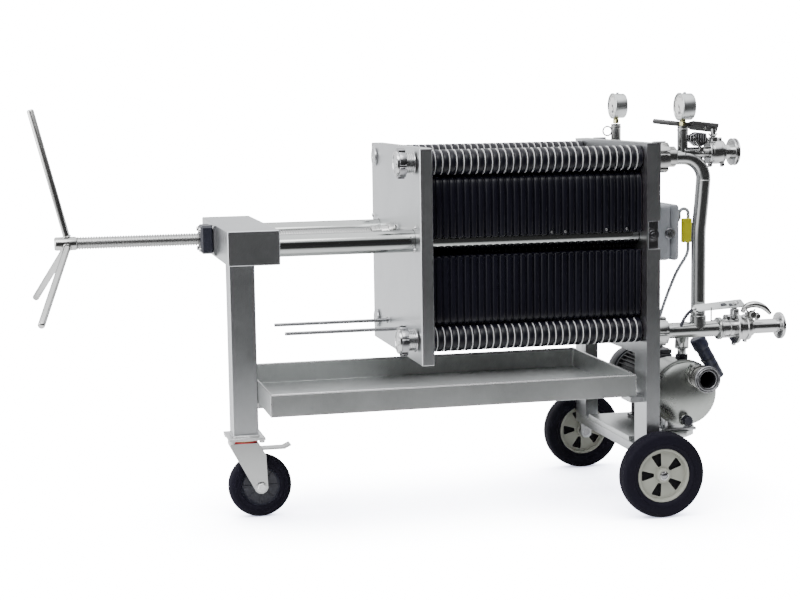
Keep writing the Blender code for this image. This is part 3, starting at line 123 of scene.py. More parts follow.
EVEN = (1, 1, 1)
UPRIGHT = (1, 1, 30)
M_FACE = steel("steel_face", (0.52, 0.53, 0.54), (0.20, 0.34), UPRIGHT, 40, 0.05)
M_TRAY = steel("steel_tray", (0.60, 0.615, 0.61), (0.22, 0.36), (30, 1, 1), 30, 0.04, 0.08)
M_POST = steel("steel_post", (0.50, 0.51, 0.52), (0.20, 0.34), UPRIGHT, 40, 0.05)
M_POLISH = steel("steel_polished", (0.54, 0.54, 0.54), (0.08, 0.20), EVEN, 150, 0.015, 0.06)
M_DARK = steel("steel_dark_reflecting", (0.30, 0.30, 0.31), (0.10, 0.24), EVEN, 150, 0.02, 0.15)
M_STAIN = steel("steel_ringed_tube", (0.26, 0.26, 0.25), (0.14, 0.30), EVEN, 120, 0.03, 0.25)
M_PIPE = steel("steel_pipe", (0.46, 0.465, 0.46), (0.10, 0.24), (1, 1, 25), 60, 0.02, 0.06)
M_ROD = steel("steel_rod", (0.30, 0.30, 0.31), (0.12, 0.26), (25, 1, 1), 60, 0.02, 0.08)
M_PUMP = steel("steel_pump", (0.37, 0.385, 0.365), (0.20, 0.30), EVEN, 30, 0.004)
M_MID = steel("steel_grey_reflecting", (0.46, 0.46, 0.45), (0.10, 0.24), EVEN, 150, 0.02, 0.12)
M_LEVER = plastic("lever_dark_steel", (0.075, 0.075, 0.075), (0.30, 0.45), 0.15, 180, 0.04)
M_CHROME = steel("rail_chrome", (0.40, 0.41, 0.40), (0.04, 0.12), (40, 1, 1), 80, 0.010, 0.05)
M_THREAD = steel("thread_steel", (0.38, 0.38, 0.375), (0.22, 0.38), EVEN, 200, 0.03, 0.2)
M_BOLT = steel("bolt_steel", (0.66, 0.66, 0.66), (0.18, 0.30), EVEN, 200, 0.03)
M_SHEET = plastic("sheet_white", (0.80, 0.80, 0.80), (0.55, 0.7), 0.05, 300)
M_PLATE = plastic("plate_black", (0.0045, 0.0045, 0.0085), (0.24, 0.36), 0.3, 90, 0.03, 0.22)
M_TYRE = plastic("tyre_black", (0.0032, 0.0026, 0.0075), (0.60, 0.80), 0.25, 160, 0.12, 0.14)
M_RIM = plastic("rim_cream", (0.30, 0.305, 0.262), (0.38, 0.55), 0.08, 140, 0.06)
# Near-black for hollows: painted shade in the wheel windows and inside the suction bore.
M_HOLLOW_SHADE = plastic("hollow_painted_shade", (0.004, 0.004, 0.005), (0.6, 0.8), 0.2, 140, 0.05, 0.15)
M_BLOCK = plastic("block_black", (0.012, 0.013, 0.022), (0.30, 0.48), 0.25, 200, 0.06)
M_BRONZE = steel("bronze_turned", (0.72, 0.55, 0.26), (0.20, 0.36), EVEN, 180, 0.03)
M_BRASS = steel("brass_fitting", (0.52, 0.50, 0.27), (0.16, 0.32), EVEN, 180, 0.03)
M_RED = plastic("seal_red", (0.42, 0.015, 0.015))
M_BOX = plastic("box_grey", (0.40, 0.42, 0.45), (0.35, 0.5), 0.05, 260)
M_CABLE = plastic("cable_grey", (0.40, 0.42, 0.45), (0.40, 0.55), 0.10, 260)
M_TAG = plastic("tag_yellow", (0.55, 0.53, 0.01), (0.35, 0.5), 0.10, 220)
M_MOTOR = plastic("motor_grey", (0.022, 0.023, 0.027), (0.35, 0.52), 0.15, 180, 0.12)
M_SLATE = plastic("slate_blue", (0.013, 0.015, 0.036), (0.30, 0.45), 0.12, 180)
M_DIAL = plastic("dial_white", (0.80, 0.80, 0.78), (0.25, 0.35), 0.02, 260, 0.01)
M_INK = plastic("dial_ink", (0.02, 0.02, 0.02), (0.4, 0.5), 0.05)
M_RACE = steel("race_yellow", (0.62, 0.55, 0.34), (0.25, 0.40), EVEN, 150, 0.03)


# ---------------------------------------------------------------- shapes, all in millimetres
METRE = 1000  # millimetres
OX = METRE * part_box("movable_head")[1].x + 505.3  # the fixed head's inner face
AXES = {
    "+X": Matrix(((0, 0, 1, 0), (0, 1, 0, 0), (-1, 0, 0, 0), (0, 0, 0, 1))),
    "-X": Matrix(((0, 0, -1, 0), (0, 1, 0, 0), (1, 0, 0, 0), (0, 0, 0, 1))),
    "+Y": Matrix(((1, 0, 0, 0), (0, 0, 1, 0), (0, -1, 0, 0), (0, 0, 0, 1))),
    "-Y": Matrix(((1, 0, 0, 0), (0, 0, -1, 0), (0, 1, 0, 0), (0, 0, 0, 1))),
    "+Z": Matrix.Identity(4),
    "-Z": Matrix(((1, 0, 0, 0), (0, -1, 0, 0), (0, 0, -1, 0), (0, 0, 0, 1))),
}
TO_X = Matrix(((0, 0, 1, 0), (1, 0, 0, 0), (0, 1, 0, 0), (0, 0, 0, 1)))
shift = Matrix.Translation
work = bmesh.new()  # the mesh of the piece in hand


def mm(corners):
    """The corners of a box in millimetres."""
    return [METRE * corner for corner in corners]


def at(x, y, z):
    """A place given from the fixed head's inner face."""
    return Vector((x + OX, y, z))


def turn(angle, axis):
    return Matrix.Rotation(radians(angle), 4, axis)


def frame_at(origin, axis):
    return shift(origin) @ (AXES[axis] if isinstance(axis, str) else axis)


def polar(r, angle):
    return r * cos(radians(angle)), r * sin(radians(angle))


def polygon(r, n, start=0):
    return [polar(r, start + 360 * k / n) for k in range(n)]


def arc(c, r, a0, a1, n):
    spokes = [polar(r, a0 + (a1 - a0) * k / n) for k in range(n + 1)]
    return [(c[0] + x, c[1] + y) for x, y in spokes]


def new_ring(places):
    return [work.verts.new(p) for p in places]


def skin(rings):
    """Join equal rings of vertices with faces, and close both ends."""
    for a, b in zip(rings, rings[1:]):
        for k in range(len(a)):
            work.faces.new((a[k - 1], a[k], b[k], b[k - 1]))
    work.faces.new(rings[0][::-1])
    work.faces.new(rings[-1])


def soften(profile, c, closed=False):
    """Cut each corner of a profile with a small chamfer of three points."""
    out = []
    n = len(profile)
    for i, p in enumerate(profile):
        q = Vector(p)
        da, db = Vector(profile[i - 1]) - q, Vector(profile[(i + 1) % n]) - q
        if (closed or 0 < i < n - 1) and min(da.length, db.length) < 0.001:
            continue
        if (not closed and i in (0, n - 1)) or abs(da.normalized().dot(db.normalized()) + 1) < 0.02:
            out.append(p)
            continue
        k = min(c, da.length * 0.4, db.length * 0.4)
        p1, p2 = q + da.normalized() * k, q + db.normalized() * k
        out += [tuple(p1), tuple((p1 + p2) / 4 + q / 2), tuple(p2)]
    return out


def lathe(profile, origin, axis, segs=48, closed=False):
    """Add a turned surface; profile is (radius, height) pairs, its ends on the axis unless closed."""
    m = frame_at(origin, axis)
    rings = []
    for r, h in profile:
        spokes = polygon(r, segs) if r > 0.0001 else [(0, 0)]
        rings.append(new_ring(m @ Vector((x, y, h)) for x, y in spokes))
    for a, b in zip(rings, rings[1:] + ([rings[0]] if closed else [])):
        for k in range(segs):
            if len(a) > 1 and len(b) > 1:
                work.faces.new((a[k - 1], a[k], b[k], b[k - 1]))
            elif len(b) > 1:
                work.faces.new((a[0], b[k], b[k - 1]))
            elif len(a) > 1:
                work.faces.new((a[k - 1], a[k], b[0]))


def hoop(profile, c, origin, axis, segs):
    """Add a turned ring with softened edges."""
    lathe(soften(profile, c, True), origin, axis, segs, True)


def steps(*stations, c=0.8):
    """Softened solid profile from (radius, length) steps."""
    prof = [(0, 0)]
    h = 0
    for r, length in stations:
        prof += [(r, h), (r, h + length)]
        h += length
    return soften(prof + [(0, h)], c)


def tube(pts, radius, segs=20):
    """Sweep a circle along points, keeping it from twisting."""
    pts = [Vector(p) for p in pts]
    n = len(pts)
    tang = [(pts[min(n - 1, i + 1)] - pts[max(0, i - 1)]).normalized() for i in range(n)]
    nor = tang[0].cross(Vector((0, 0, 1)) if abs(tang[0].z) < 0.9 else Vector((1, 0, 0))).normalized()
    rings = []
    for i, p in enumerate(pts):
        nor = (nor - tang[i] * nor.dot(tang[i])).normalized()
        bi = tang[i].cross(nor)
        rad = radius[i] if isinstance(radius, list) else radius
        rings.append(new_ring(p + nor * x + bi * y for x, y in polygon(rad, segs)))
    skin(rings)


def smooth_path(pts, per=8):
    """Catmull-Rom curve through points."""
    pts = [Vector(p) for p in pts]
    out = []
    for i in range(len(pts) - 1):
        p0, p1, p2, p3 = pts[max(0, i - 1)], pts[i], pts[i + 1], pts[min(len(pts) - 1, i + 2)]
        for s in range(per):
            t = s / per
            out.append(0.5 * (2 * p1 + (p2 - p0) * t + (2 * p0 - 5 * p1 + 4 * p2 - p3) * t * t
                              + (3 * p1 - p0 - 3 * p2 + p3) * t ** 3))
    return out + [pts[-1]]


def add(sub):
    """Add a mesh of its own to the piece in hand."""
    me = bpy.data.meshes.new("tmp")
    sub.to_mesh(me)
    sub.free()
    work.from_mesh(me)
    bpy.data.meshes.remove(me)


def boxy(low, high, bevel, segs=2, matrix=AXES["+Z"]):
    """Add a box with rounded edges."""
    sub = bmesh.new()
    bmesh.ops.create_cube(sub, size=1.0)
    size = [h - l for l, h in zip(low, high)]
    mid = [(h + l) / 2 for l, h in zip(low, high)]
    sub.transform(shift(mid) @ Matrix.Diagonal((*size, 1.0)))
    bmesh.ops.bevel(sub, geom=list(sub.edges), offset=bevel, segments=segs, profile=0.5, affect="EDGES")
    sub.transform(matrix)
    add(sub)


def extrude_outline(pts, thick, matrix, bevel=0, segs=2):
    """Add a flat outline (in XY) of the given thickness, centred, under a matrix."""
    sub = bmesh.new()
    lo, hi = ([sub.verts.new((x, y, z)) for x, y in pts] for z in (-thick / 2, thick / 2))
    sub.faces.new(lo[::-1])
    sub.faces.new(hi)
    for k in range(len(pts)):
        sub.faces.new((lo[k - 1], lo[k], hi[k], hi[k - 1]))
    bmesh.ops.recalc_face_normals(sub, faces=sub.faces)
    if bevel:
        rim = [e for e in sub.edges if e.verts[0].co.z * e.verts[1].co.z > 0]
        bmesh.ops.bevel(sub, geom=rim, offset=bevel, segments=segs, profile=0.5, affect="EDGES")
    sub.transform(matrix)
    add(sub)


def hexagon(origin, axis, r, h, spin, washer=0):
    """A hexagon bolt head, on an optional washer."""
    base = 0
    if washer:
        base = 1.4
        lathe(steps((washer, base), c=0.3), origin, axis, 24)
    m = frame_at(origin, axis) @ Matrix.Rotation(spin, 4, "Z") @ shift((0, 0, base + h / 2))
    extrude_outline(polygon(r, 6), h, m, min(0.8, h * 0.2), 1)


def bead(pts, radius, segs=8, closed=False, seed=1):
    """A weld bead: a thin uneven tube."""
    r = random.Random(seed)
    full = []
    loop = list(pts) + ([pts[0]] if closed else [])
    for a, b in zip(loop, loop[1:]):
        n = max(2, int((b - a).length / 4))
        full += [a.lerp(b, k / n) for k in range(n)]
    full.append(loop[-1])
    tube(full, [radius * (0.85 + 0.3 * r.random()) for _ in full], segs)


def edge_softener(ob, bevel):
    """Weld an object's vertices and bevel its sharp edges."""
    ob.modifiers.new("weld", "WELD").merge_threshold = 0.00001
    m = ob.modifiers.new("edge", "BEVEL")
    m.width = bevel / METRE
    m.segments = 2
    m.limit_method = "ANGLE"
    m.angle_limit = radians(30)
    m.harden_normals = True


def piece(name, mat, node=None, body="press_frame", smooth=True, angle=35, unit=METRE):
    """Finish the piece in hand: mesh, material, shading, the body it rides on and the CAD node it stands for.

    unit says how many of the mesh's own units make a metre.
    """
    bmesh.ops.recalc_face_normals(work, faces=work.faces)
    work.transform(Matrix.Scale(1 / unit, 4))
    me = bpy.data.meshes.new(name)
    work.to_mesh(me)
    work.clear()
    ob = bpy.data.objects.new(name, me)
    bpy.context.scene.collection.objects.link(ob)
    for m in mat if isinstance(mat, list) else [mat]:
        me.materials.append(m)
    if smooth:
        me.shade_smooth()
        me.set_sharp_from_angle(angle=radians(angle))
    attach(ob, body)
    if node:
        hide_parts(node)
    return ob


def dress(name, mat, bevel=0):
    """Give a CAD node its material and softened edges."""
    ob = NODES[name]
    ob.data.materials.clear()
    ob.data.materials.append(mat)
    for p in ob.data.polygons:
        p.material_index = 0
    if bevel:
        edge_softener(ob, bevel)


def recut(node, name, body, *moves):
    """A CAD node's own mesh, in metres, with some of its faces moved, on welded and softened edges."""
    work.from_mesh(NODES[node].data)
    work.transform(NODES[node].matrix_world)
    for v in work.verts:
        for axis, was, now, test in moves:
            if abs(abs(v.co[axis]) - abs(was) / METRE) < 0.0002 and test(METRE * v.co):
                v.co[axis] = copysign(now / METRE, v.co[axis])
    edge_softener(piece(name, M_FACE, node, body, smooth=False, unit=1), 1.2)


def slotted_nut(origin, axis, r, length, slot_r, turned, bevel):
    """A union nut with six round slots in its rim."""
    pts = []
    half = degrees(2 * asin(slot_r / (2 * r)))
    for k in range(6):
        end = turned + 60 * (k + 1)
        pts += arc((0, 0), r, end - 60 + half, end - half, 10)
        c, b = polar(r, end), polar(r, end + half)
        a0, a1 = (degrees(atan2(p[1] - c[1], p[0] - c[0])) for p in (pts[-1], b))
        a1 += 360 * (a1 < a0)
        notch = arc(c, slot_r, a0, a1, 6)
        if Vector(notch[3]).length > r:
            notch = arc(c, slot_r, a0 + 360, a1, 6)
        pts += notch[1:-1]
    extrude_outline(pts, length, frame_at(origin, axis) @ shift((0, 0, length / 2)), bevel, 2)


def thread(origin, axis, r, length, pitch, depth, segs):
    """A short coarse round thread, shown as rings."""
    prof = [(0, 0)]
    for k in range(int(length / pitch)):
        prof += [(r - d, (k + part) * pitch) for d, part in ((depth, 0), (depth, 0.3), (0, 0.5), (0, 0.8))]
    lathe(prof + [(r - depth, length), (0, length)], origin, axis, segs)


def helix(origin, axis, r, depth, pitch, length, segs=32):
    """A real one-start trapezoid thread."""
    m = frame_at(origin, axis)
    shape = [(0, r - depth), (0.22, r - depth), (0.34, r), (0.66, r), (0.78, r - depth), (1, r - depth)]
    prev = None
    for i in range(int(length / pitch * segs) - segs + 1):
        cur = new_ring(m @ Vector((*polar(rr, 360 * i / segs), pitch * (i / segs + t))) for t, rr in shape)
        for k in range(5 if prev else 0):
            work.faces.new((prev[k], cur[k], cur[k + 1], prev[k + 1]))
        prev = cur
    bmesh.ops.remove_doubles(work, verts=work.verts, dist=0.02)


def lobed(n, *corners):
    """Outline of a grip with n lobes; each corner is (radians past the lobe's start, radius)."""
    return [polar(r, 360 * k / n + degrees(a)) for k in range(n) for a, r in corners]


def rounded(corners, r, n=4):
    """Outline with each corner turned into an arc of about this radius."""
    out = []
    for k, c in enumerate(corners):
        a, b, q = Vector(corners[k - 1]), Vector(corners[(k + 1) % len(corners)]), Vector(c)
        da, db = (a - q).normalized(), (b - q).normalized()
        run = min(r / tan(da.angle(db) / 2), (a - q).length * 0.45, (b - q).length * 0.45)
        p0, p1 = q + da * run, q + db * run
        out += [tuple(p0 * (1 - t) ** 2 + q * 2 * t * (1 - t) + p1 * t ** 2) for t in (s / n for s in range(n + 1))]
    return out


# ---------------------------------------------------------------- filter plates
PITCH, SHEET0, SHEET_T, EAR, PORT, MID_Z = 16.47, 12.1, 2.4, 29, 200, 630
PACK_L = 505
NOTCH_Z = 23.5


def plate_side(inset):
    """Half of a filter plate's outline: two ears and the notch that rides on the rail."""
    ear, nr, s = EAR - inset, 26.5 + inset, inset
    p = arc((PORT, PORT), ear, 150, -58, 22)
    end = p[-1]
    p += [tuple(v)[:2] for v in smooth_path([(end[0], end[1], 0), (203.5 - s, PORT - 30.5, 0),
                                             (214.5 - s, PORT - 39, 0), (219.5 - s, PORT - 52, 0),
                                             (222 - s, PORT - 68, 0)], 5)][1:]
    p += [(222 - s, NOTCH_Z + 8.5 + s), (220.5 - s, NOTCH_Z + 6.5 + s)]
    p += arc((178, NOTCH_Z), nr, 14, 180, 16)
    p += [(178 - nr, NOTCH_Z - 34 - s), (214 - s, NOTCH_Z - 34 - s), (216 - s, NOTCH_Z - 36 - s)]
    p += [tuple(v)[:2] for v in smooth_path([(216 - s, 68 - PORT, 0), (215.5 - s, 50 - PORT, 0),
                                             (212 - s, 38 - PORT, 0), (203.5 - s, 30.5 - PORT, 0),
                                             (end[0], -end[1], 0)], 5)][:-1]
    p += arc((PORT, -PORT), ear, 58, -150, 22)
    return p


def plate_outline(inset=0):
    side = plate_side(inset)
    return side + [(-y, z) for y, z in reversed(side)]


sheets = [SHEET0 + k * PITCH - PACK_L for k in range(30)]
starts = [-PACK_L + 0.4] + [s + SHEET_T / 2 for s in sheets]
stops = [s - SHEET_T / 2 for s in sheets] + [-0.5]
core = plate_outline(5)
for g in range(6):
    body = f"plate_group_{g + 1}"
    plates = list(range(5 * g, 5 * g + 5)) + ([30] if g == 5 else [])
    for k in plates:
        half = (stops[k] - starts[k]) / 2 - 0.2
        mid = (starts[k] + stops[k]) / 2
        rings = []
        for t in (-1, -0.96, -0.8, -0.45, 0.45, 0.8, 0.96, 1):
            inset = 4.6 * (1 - sqrt(max(0, 1 - abs(t) ** 2.6)))
            rings.append(new_ring(at(mid + t * half, y, MID_Z + z) for y, z in plate_outline(inset)))
        skin(rings)
    a, b = starts[plates[0]] + 0.6, (stops[plates[-1]] - 0.6 if g == 5 else sheets[plates[-1]] + SHEET_T / 2 - 0.4)
    extrude_outline(core, b - a, shift(at((a + b) / 2, 0, MID_Z)) @ TO_X)
    piece(f"filter_plates_{g + 1}", M_PLATE, f"plates_{g + 1}", body)
    for s in sheets[5 * g: 5 * g + 5]:
        for sy in (-1, 1):
            for sz in (-1, 1):
                h = SHEET_T / 2 - 0.6
                hoop([(22, -h), (28.7, -h), (28.7, h), (22, h)], 0.6, at(s, sy * PORT, MID_Z + sz * PORT), "+X", 40)
    piece(f"sheet_rings_{g + 1}", M_SHEET, body=body)
# Small bright studs on the lugs of four plates, just above the near rail: painted highlights for the glints there.
for g, marks in ((4, ((17, 666.5), (19, 666.5))), (6, ((25, 668), (28, 668)))):
    for k, z in marks:
        x = (starts[k] + stops[k]) / 2
        lathe(steps((3.2, 1.2), (2.2, 0.6), c=0.3), at(x, -221.7, z), "-Y", 16)
    piece(f"plate_lug_glint_studs_{g}", M_BOLT, body=f"plate_group_{g}")

# ---------------------------------------------------------------- rails and their bolts
RAIL_Y, RAIL_Z = 178, 653.5
for side, sy in (("near", -1), ("far", 1)):
    lo, hi = mm(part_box(f"rail_{side}"))
    length = hi.x - lo.x
    prof = [(0, 4), (10, 4), (12, 0), (23.5, 0), (25, 1.5), (25, length - 1.5), (23.5, length), (0, length)]
    lathe(prof, Vector((lo.x, sy * RAIL_Y, RAIL_Z)), "+X", 96)
    piece(f"rail_bar_{side}", M_CHROME, f"rail_{side}", angle=30)
    lo, hi = mm(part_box(f"rail_bolt_{side}"))
    o = Vector((lo.x, sy * RAIL_Y, RAIL_Z))
    lathe(steps((10.5, 4), (8, 12), c=0.6), o, "+X", 32)
    hexagon(o + Vector((4, 0, 0)), "+X", 12.5, 8, 0.3)
    ring = [(8, 0), (28.5, 0), (28.5, 3.2), (8, 3.2)]
    hoop(ring, 0.8, o + Vector((hi.x - lo.x - 3.6, 0, 0)), "+X", 48)
    dome = [(0, 0)] + [(11.5 * sin(radians(a)), 8.5 * cos(radians(a))) for a in range(90, -1, -15)]
    lathe(dome, o + Vector((13, 0, 0)), "+X", 32)
    piece(f"rail_end_bolt_{side}", M_POLISH, f"rail_bolt_{side}")

# In each pocket of the fixed head a dark block fills the cut, painted shade, and the rail end's turned dome faces
# outward from it.
for sy, ax in ((-1, "-Y"), (1, "+Y")):
    y0, y1 = sorted((sy * 203, sy * 234))
    boxy(at(1.5, y0, 620.5), at(32.5, y1, 686.5), 0.6, 1)
    lathe(steps((15.2, 6), (11.2, 4), (6, 2.5), c=1), at(17, sy * 234, RAIL_Z), ax, 48)
piece("rail_pocket_shade_and_domes", M_DARK)

# ---------------------------------------------------------------- crosshead, post, block, bronze nut
FACE = 33.3
recut("fixed_head", "fixed_plate_and_legs", "press_frame", (0, OX + 30, OX + 33, lambda p: True),
      (1, 147, 172, lambda p: p.z < 345.5), (2, 345, 370, lambda p: abs(p.y) < 172.5 and p.x > OX - 1))
recut("movable_head", "moving_plate", "movable_head", (0, OX - 535, 538 - OX, lambda p: p.x < 0))
dress("crosshead", M_POST)
dress("post", M_POST)
dress("screw_block", M_BLOCK)
dress("tray", M_TRAY, 0.8)
dress("caster_plate", M_BOLT, 0.8)

CX0, CX1 = -962.7, -847.2
POST_X = (CX0 + CX1) / 2
SCREW_Z = 659
for sy in (-1, 1):
    for sz in (-1, 1):
        o = at(CX0 - 5 - 29.2, sy * 22.5, SCREW_Z + sz * 22.5)
        lathe([(0, 0), (5.2, 0), (5.2, 3), (4.6, 3.6), (2.8, 3.6), (2.6, 1.6), (0, 1.6)], o, "-X", 20)
piece("block_screws", M_BOLT)
for sy in (-1, 1):
    for sz in (-1, 1):
        hexagon(at(CX0 - 5, sy * 31, SCREW_Z + sz * 31 - (3 if sz > 0 else 0)), "-X", 3.6, 2.4, 0.2 * sy)
piece("flange_screws", M_BOLT)
prof = [(15.2, 0), (27, 0), (27, 11.8), (21.5, 12), (21.5, 18), (15.2, 18)]
hoop(prof, 0.9, at(CX1 + 0.3, 0, SCREW_Z), "+X", 56)
for a in (45, 135, 225, 315):
    y, z = polar(24.2, a)
    lathe(steps((1.8, 1), c=0.3), at(CX1 + 12.1, y, SCREW_Z + z), "+X", 12)
piece("bronze_nut_turned", M_BRONZE, "bronze_nut")

# post: weld seams at the crosshead, at the bracket and at the foot
for z, seed in ((615, 1), (198.5, 2)):
    h = 30.5
    loop = [at(POST_X + sx * h, sy * h, z) for sx, sy in ((-1, -1), (1, -1), (1, 1), (-1, 1))]
    bead(loop, 1.7, 8, True, seed)
for sy in (-1, 1):
    bead([at(POST_X + 30.5, sy * 29.8, 262), at(POST_X + 30.5, sy * 29.8, 274.5)], 1.4, 8, seed=5)
piece("post_welds", M_BOLT)

# ---------------------------------------------------------------- closing screw and hand wheel
lo, hi = mm(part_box("screw"))
SX1 = hi.x - OX
SX0 = -1324
helix(at(SX0 + 47, 0, SCREW_Z), "+X", 14.5, 1.9, 6, SX1 - 24.5 - SX0 - 47 + 6)
piece("screw_thread", M_THREAD, "screw", "closing_screw", angle=25)
hub = [(0, 0), (12.5, 0), (15.5, 3), (15.5, 47), (14, 50), (12.8, 51), (0, 51)]
lathe(hub, at(SX0, 0, SCREW_Z), "+X", 48)
collar = [(0, 0), (15.5, 0), (18.5, 2), (18.5, 8.5), (17.5, 9), (17.5, 11), (18.5, 11.5), (18.5, 19.5), (20.5, 20),
          (20.5, 24), (19.5, 24.5), (0, 24.5)]
lathe(collar, at(SX1 - 24.5, 0, SCREW_Z), "+X", 48)
for a in (20, 200):
    y, z = polar(18, a)
    tube([at(SX1 - 20.5, y * 0.9, SCREW_Z + z * 0.9), at(SX1 - 20.5, y * 1.07, SCREW_Z + z * 1.07)], 2.2, 12)
REACH, RAKE = 302, 73.5
slope = atan2(RAKE, REACH)
arm_l = hypot(REACH, RAKE)
for k in range(3):
    a = radians(90 + 120 * k)
    d = Vector((-sin(slope), cos(a) * cos(slope) * (-1), sin(a) * cos(slope)))
    root = at(SX0 + 32, 0, SCREW_Z)
    ends = [root + d * t for t in (0, 20, arm_l - 3.5, arm_l - 1.2, arm_l)]
    tube(ends, [8, 8, 8, 6.8, 4.5], 28)
    side = d.cross(Vector((1, 0, 0))).normalized()
    up = side.cross(d)
    ring = [root + d * 16.5 + (side * cos(t) + up * sin(t)) * 8.8 for t in [2 * pi * i / 24 for i in range(24)]]
    bead(ring, 1.6, 8, True, 11 + k)
piece("hand_wheel", M_MID, None, "closing_screw")

# ---------------------------------------------------------------- moving head: boss, guide rods, small screws, caps
MX0 = -538
boss = [(15.2, 0), (17.8, 0), (17.8, 16.5), (23.2, 17.5), (23.2, 32.5), (15.2, 32.5)]
hoop(boss, 0.9, at(MX0 - 32.7, 0, SCREW_Z), "+X", 56)
for a in (30, 150, 270):
    y, z = polar(31.5, a)
    hexagon(at(MX0, y, SCREW_Z + z), "-X", 5.8, 4.5, 0.3, 7.5)
piece("screw_boss", M_MID, body="movable_head")
for sy in (-1, 1):
    o = at(MX0 - 278, sy * 77, 441)
    prof = [(0, 0), (3.2, 0), (4.2, 1), (4.2, 277.5), (0, 277.5)]
    lathe(prof, o, "+X", 28)
    lathe(steps((7.5, 4), c=0.6), at(MX0 - 4, sy * 77, 441), "+X", 24)
piece("guide_rods", M_ROD, body="movable_head")
for sy in (-1, 1):
    for y, z in ((218.5, 685.5), (211, 635)):
        lathe(steps((5.2, 3), (4, 1.2), c=0.6), at(MX0, sy * y, z), "-X", 20)
piece("bush_screws", M_BOLT, body="movable_head")


def port_cap(name, origin, axis, body, node, spin):
    """A union cap with a coarse thread, and its slotted nut."""
    along = AXES[axis] @ Vector((0, 0, 1))
    thread(origin, axis, 23.5, 21, 4.2, 1.4, 48)
    lathe(steps((26.2, 2.2), c=0.5), origin, axis, 40)
    lathe([(0, 0), (28.5, 0), (28.5, 4), (27.8, 5), (22.5, 5), (21, 3.6), (12, 2.8), (10.5, 2.8), (9.5, 4.4), (0, 4.4)],
          origin + along * 37, axis, 48)
    piece(name, M_POLISH, node, body)
    slotted_nut(origin + along * 21, axis, 34.5, 16, 5.5, spin, 1.2)
    piece(name + "_nut", M_DARK, None, body)


for level, sz in (("top", 1), ("low", -1)):
    port_cap(f"union_cap_{level}_near", at(MX0, -PORT, MID_Z + sz * PORT), "-X", "movable_head",
             f"port_cap_{level}_near", 3 + 17 * sz)
    lathe([(0, 3), (6, 3), (6.8, 3.8), (20.5, 4), (22.2, 3.2), (22.8, 0), (0, 0)], at(MX0, PORT, MID_Z + sz * PORT),
          "-X", 48)
    piece(f"union_plug_{level}_far", M_FACE, f"port_cap_{level}_far", "movable_head")
port_cap("union_cap_fixed_far", at(FACE, PORT, MID_Z - PORT), "+X", "press_frame", "fixed_cap_low_far", 8)

# ---------------------------------------------------------------- tray details
T0, T1 = -874.4, -15
tz0, tz1, tw = 275.6, 326.2, 220.7
loop = [at(T0 + 1.5, -tw + 1.5, tz1 - 0.8), at(T1 - 1.5, -tw + 1.5, tz1 - 0.8), at(T1 - 1.5, tw - 1.5, tz1 - 0.8),
        at(T0 + 1.5, tw - 1.5, tz1 - 0.8)]
full = []
for a, b in zip(loop, loop[1:] + loop[:1]):
    full += [a.lerp(b, k / 10) for k in range(10)]
full.append(loop[0])
tube(full, 2.1, 12)
piece("tray_rim", M_BOLT)
for sx, x in ((0, T0 + 0.6), (1, T1 - 0.6)):
    for sy in (-1, 1):
        bead([at(x, sy * (tw - 0.6), tz0 + 2), at(x, sy * (tw - 0.6), tz1 - 3)], 1.3, 8, seed=21 + sx)
for sy in (-1, 1):
    bead([at(-28, sy * 172.2, tz0 - 1.4), at(-2, sy * 172.2, tz0 - 1.4)], 1.3, 8, seed=31)
piece("tray_welds", M_BOLT)

# ---------------------------------------------------------------- beam, base plate, axle and trolley wheels
WY, WR, AXLE_X = 277.5, 100, 25
boxy(at(0, -247, 128), at(40, 247, 152), 2.2, 3)
for sy in (-1, 1):
    lug = rounded([(9, 130), (12, 92), (19, 85), (31, 85), (38, 92), (38, 130)], 3, 3)
    extrude_outline(lug, 12, shift(at(0, sy * 240, 0)) @ turn(90, "X"), 1, 2)
piece("beam_tube", M_POST, "axle_beam")
for sy in (-1, 1):
    bead([at(32.5, sy * 173.5, 153), at(32.5, sy * 245, 153)], 1.5, 8, seed=42)
    bead([at(1.5, sy * 173.5, 153), at(1.5, sy * 245, 153)], 1.5, 8, seed=43)
    bead([at(1.5, sy * 172.6, 153), at(32.5, sy * 172.6, 153)], 1.5, 8, seed=44)
piece("axle_welds", M_BOLT)

BASE_Z = 166
corners = [(-4, -140), (146, -140), (176, -110), (176, 110), (146, 140), (-4, 140)]
extrude_outline(rounded(corners, 4, 3), BASE_Z - 152.3, shift(at(0, 0, (BASE_Z + 152.3) / 2)), 2, 3)
piece("pump_base", M_TRAY, "base_plate")

STUB_Y = 298.5
rod = [(0, 0), (5, 0.3), (6.8, 1.5), (7.6, 4), (10, 5.2), (10, 63.5), (8.5, 65), (0, 65)]
for sy, ax in ((-1, "+Y"), (1, "-Y")):
    lathe(rod, at(AXLE_X, sy * STUB_Y, WR), ax, 32)
for sy in (-1, 1):
    hoop([(10.1, 0), (14, 0), (14, 8), (10.1, 8)], 0.6, at(AXLE_X, sy * 251.5 - 4, WR), "+Y", 32)
piece("wheel_axle", M_DARK, "axle")
for sy, ax in ((-1, "-Y"), (1, "+Y")):
    o = at(AXLE_X, sy * 296.2, WR)
    hoop([(7.8, 0), (10.4, 0), (10.4, 0.6), (7.8, 1.4)], 0.2, o, ax, 32)
    for k in range(6):
        m = frame_at(o, ax) @ turn(60 * k + 15, "Z") @ shift((9, 0, 1.1))
        extrude_outline([(-1.6, -1.2), (1.2, -0.9), (1.2, 0.9), (-1.6, 1.2)], 1, m)
piece("axle_push_nuts", M_POLISH)


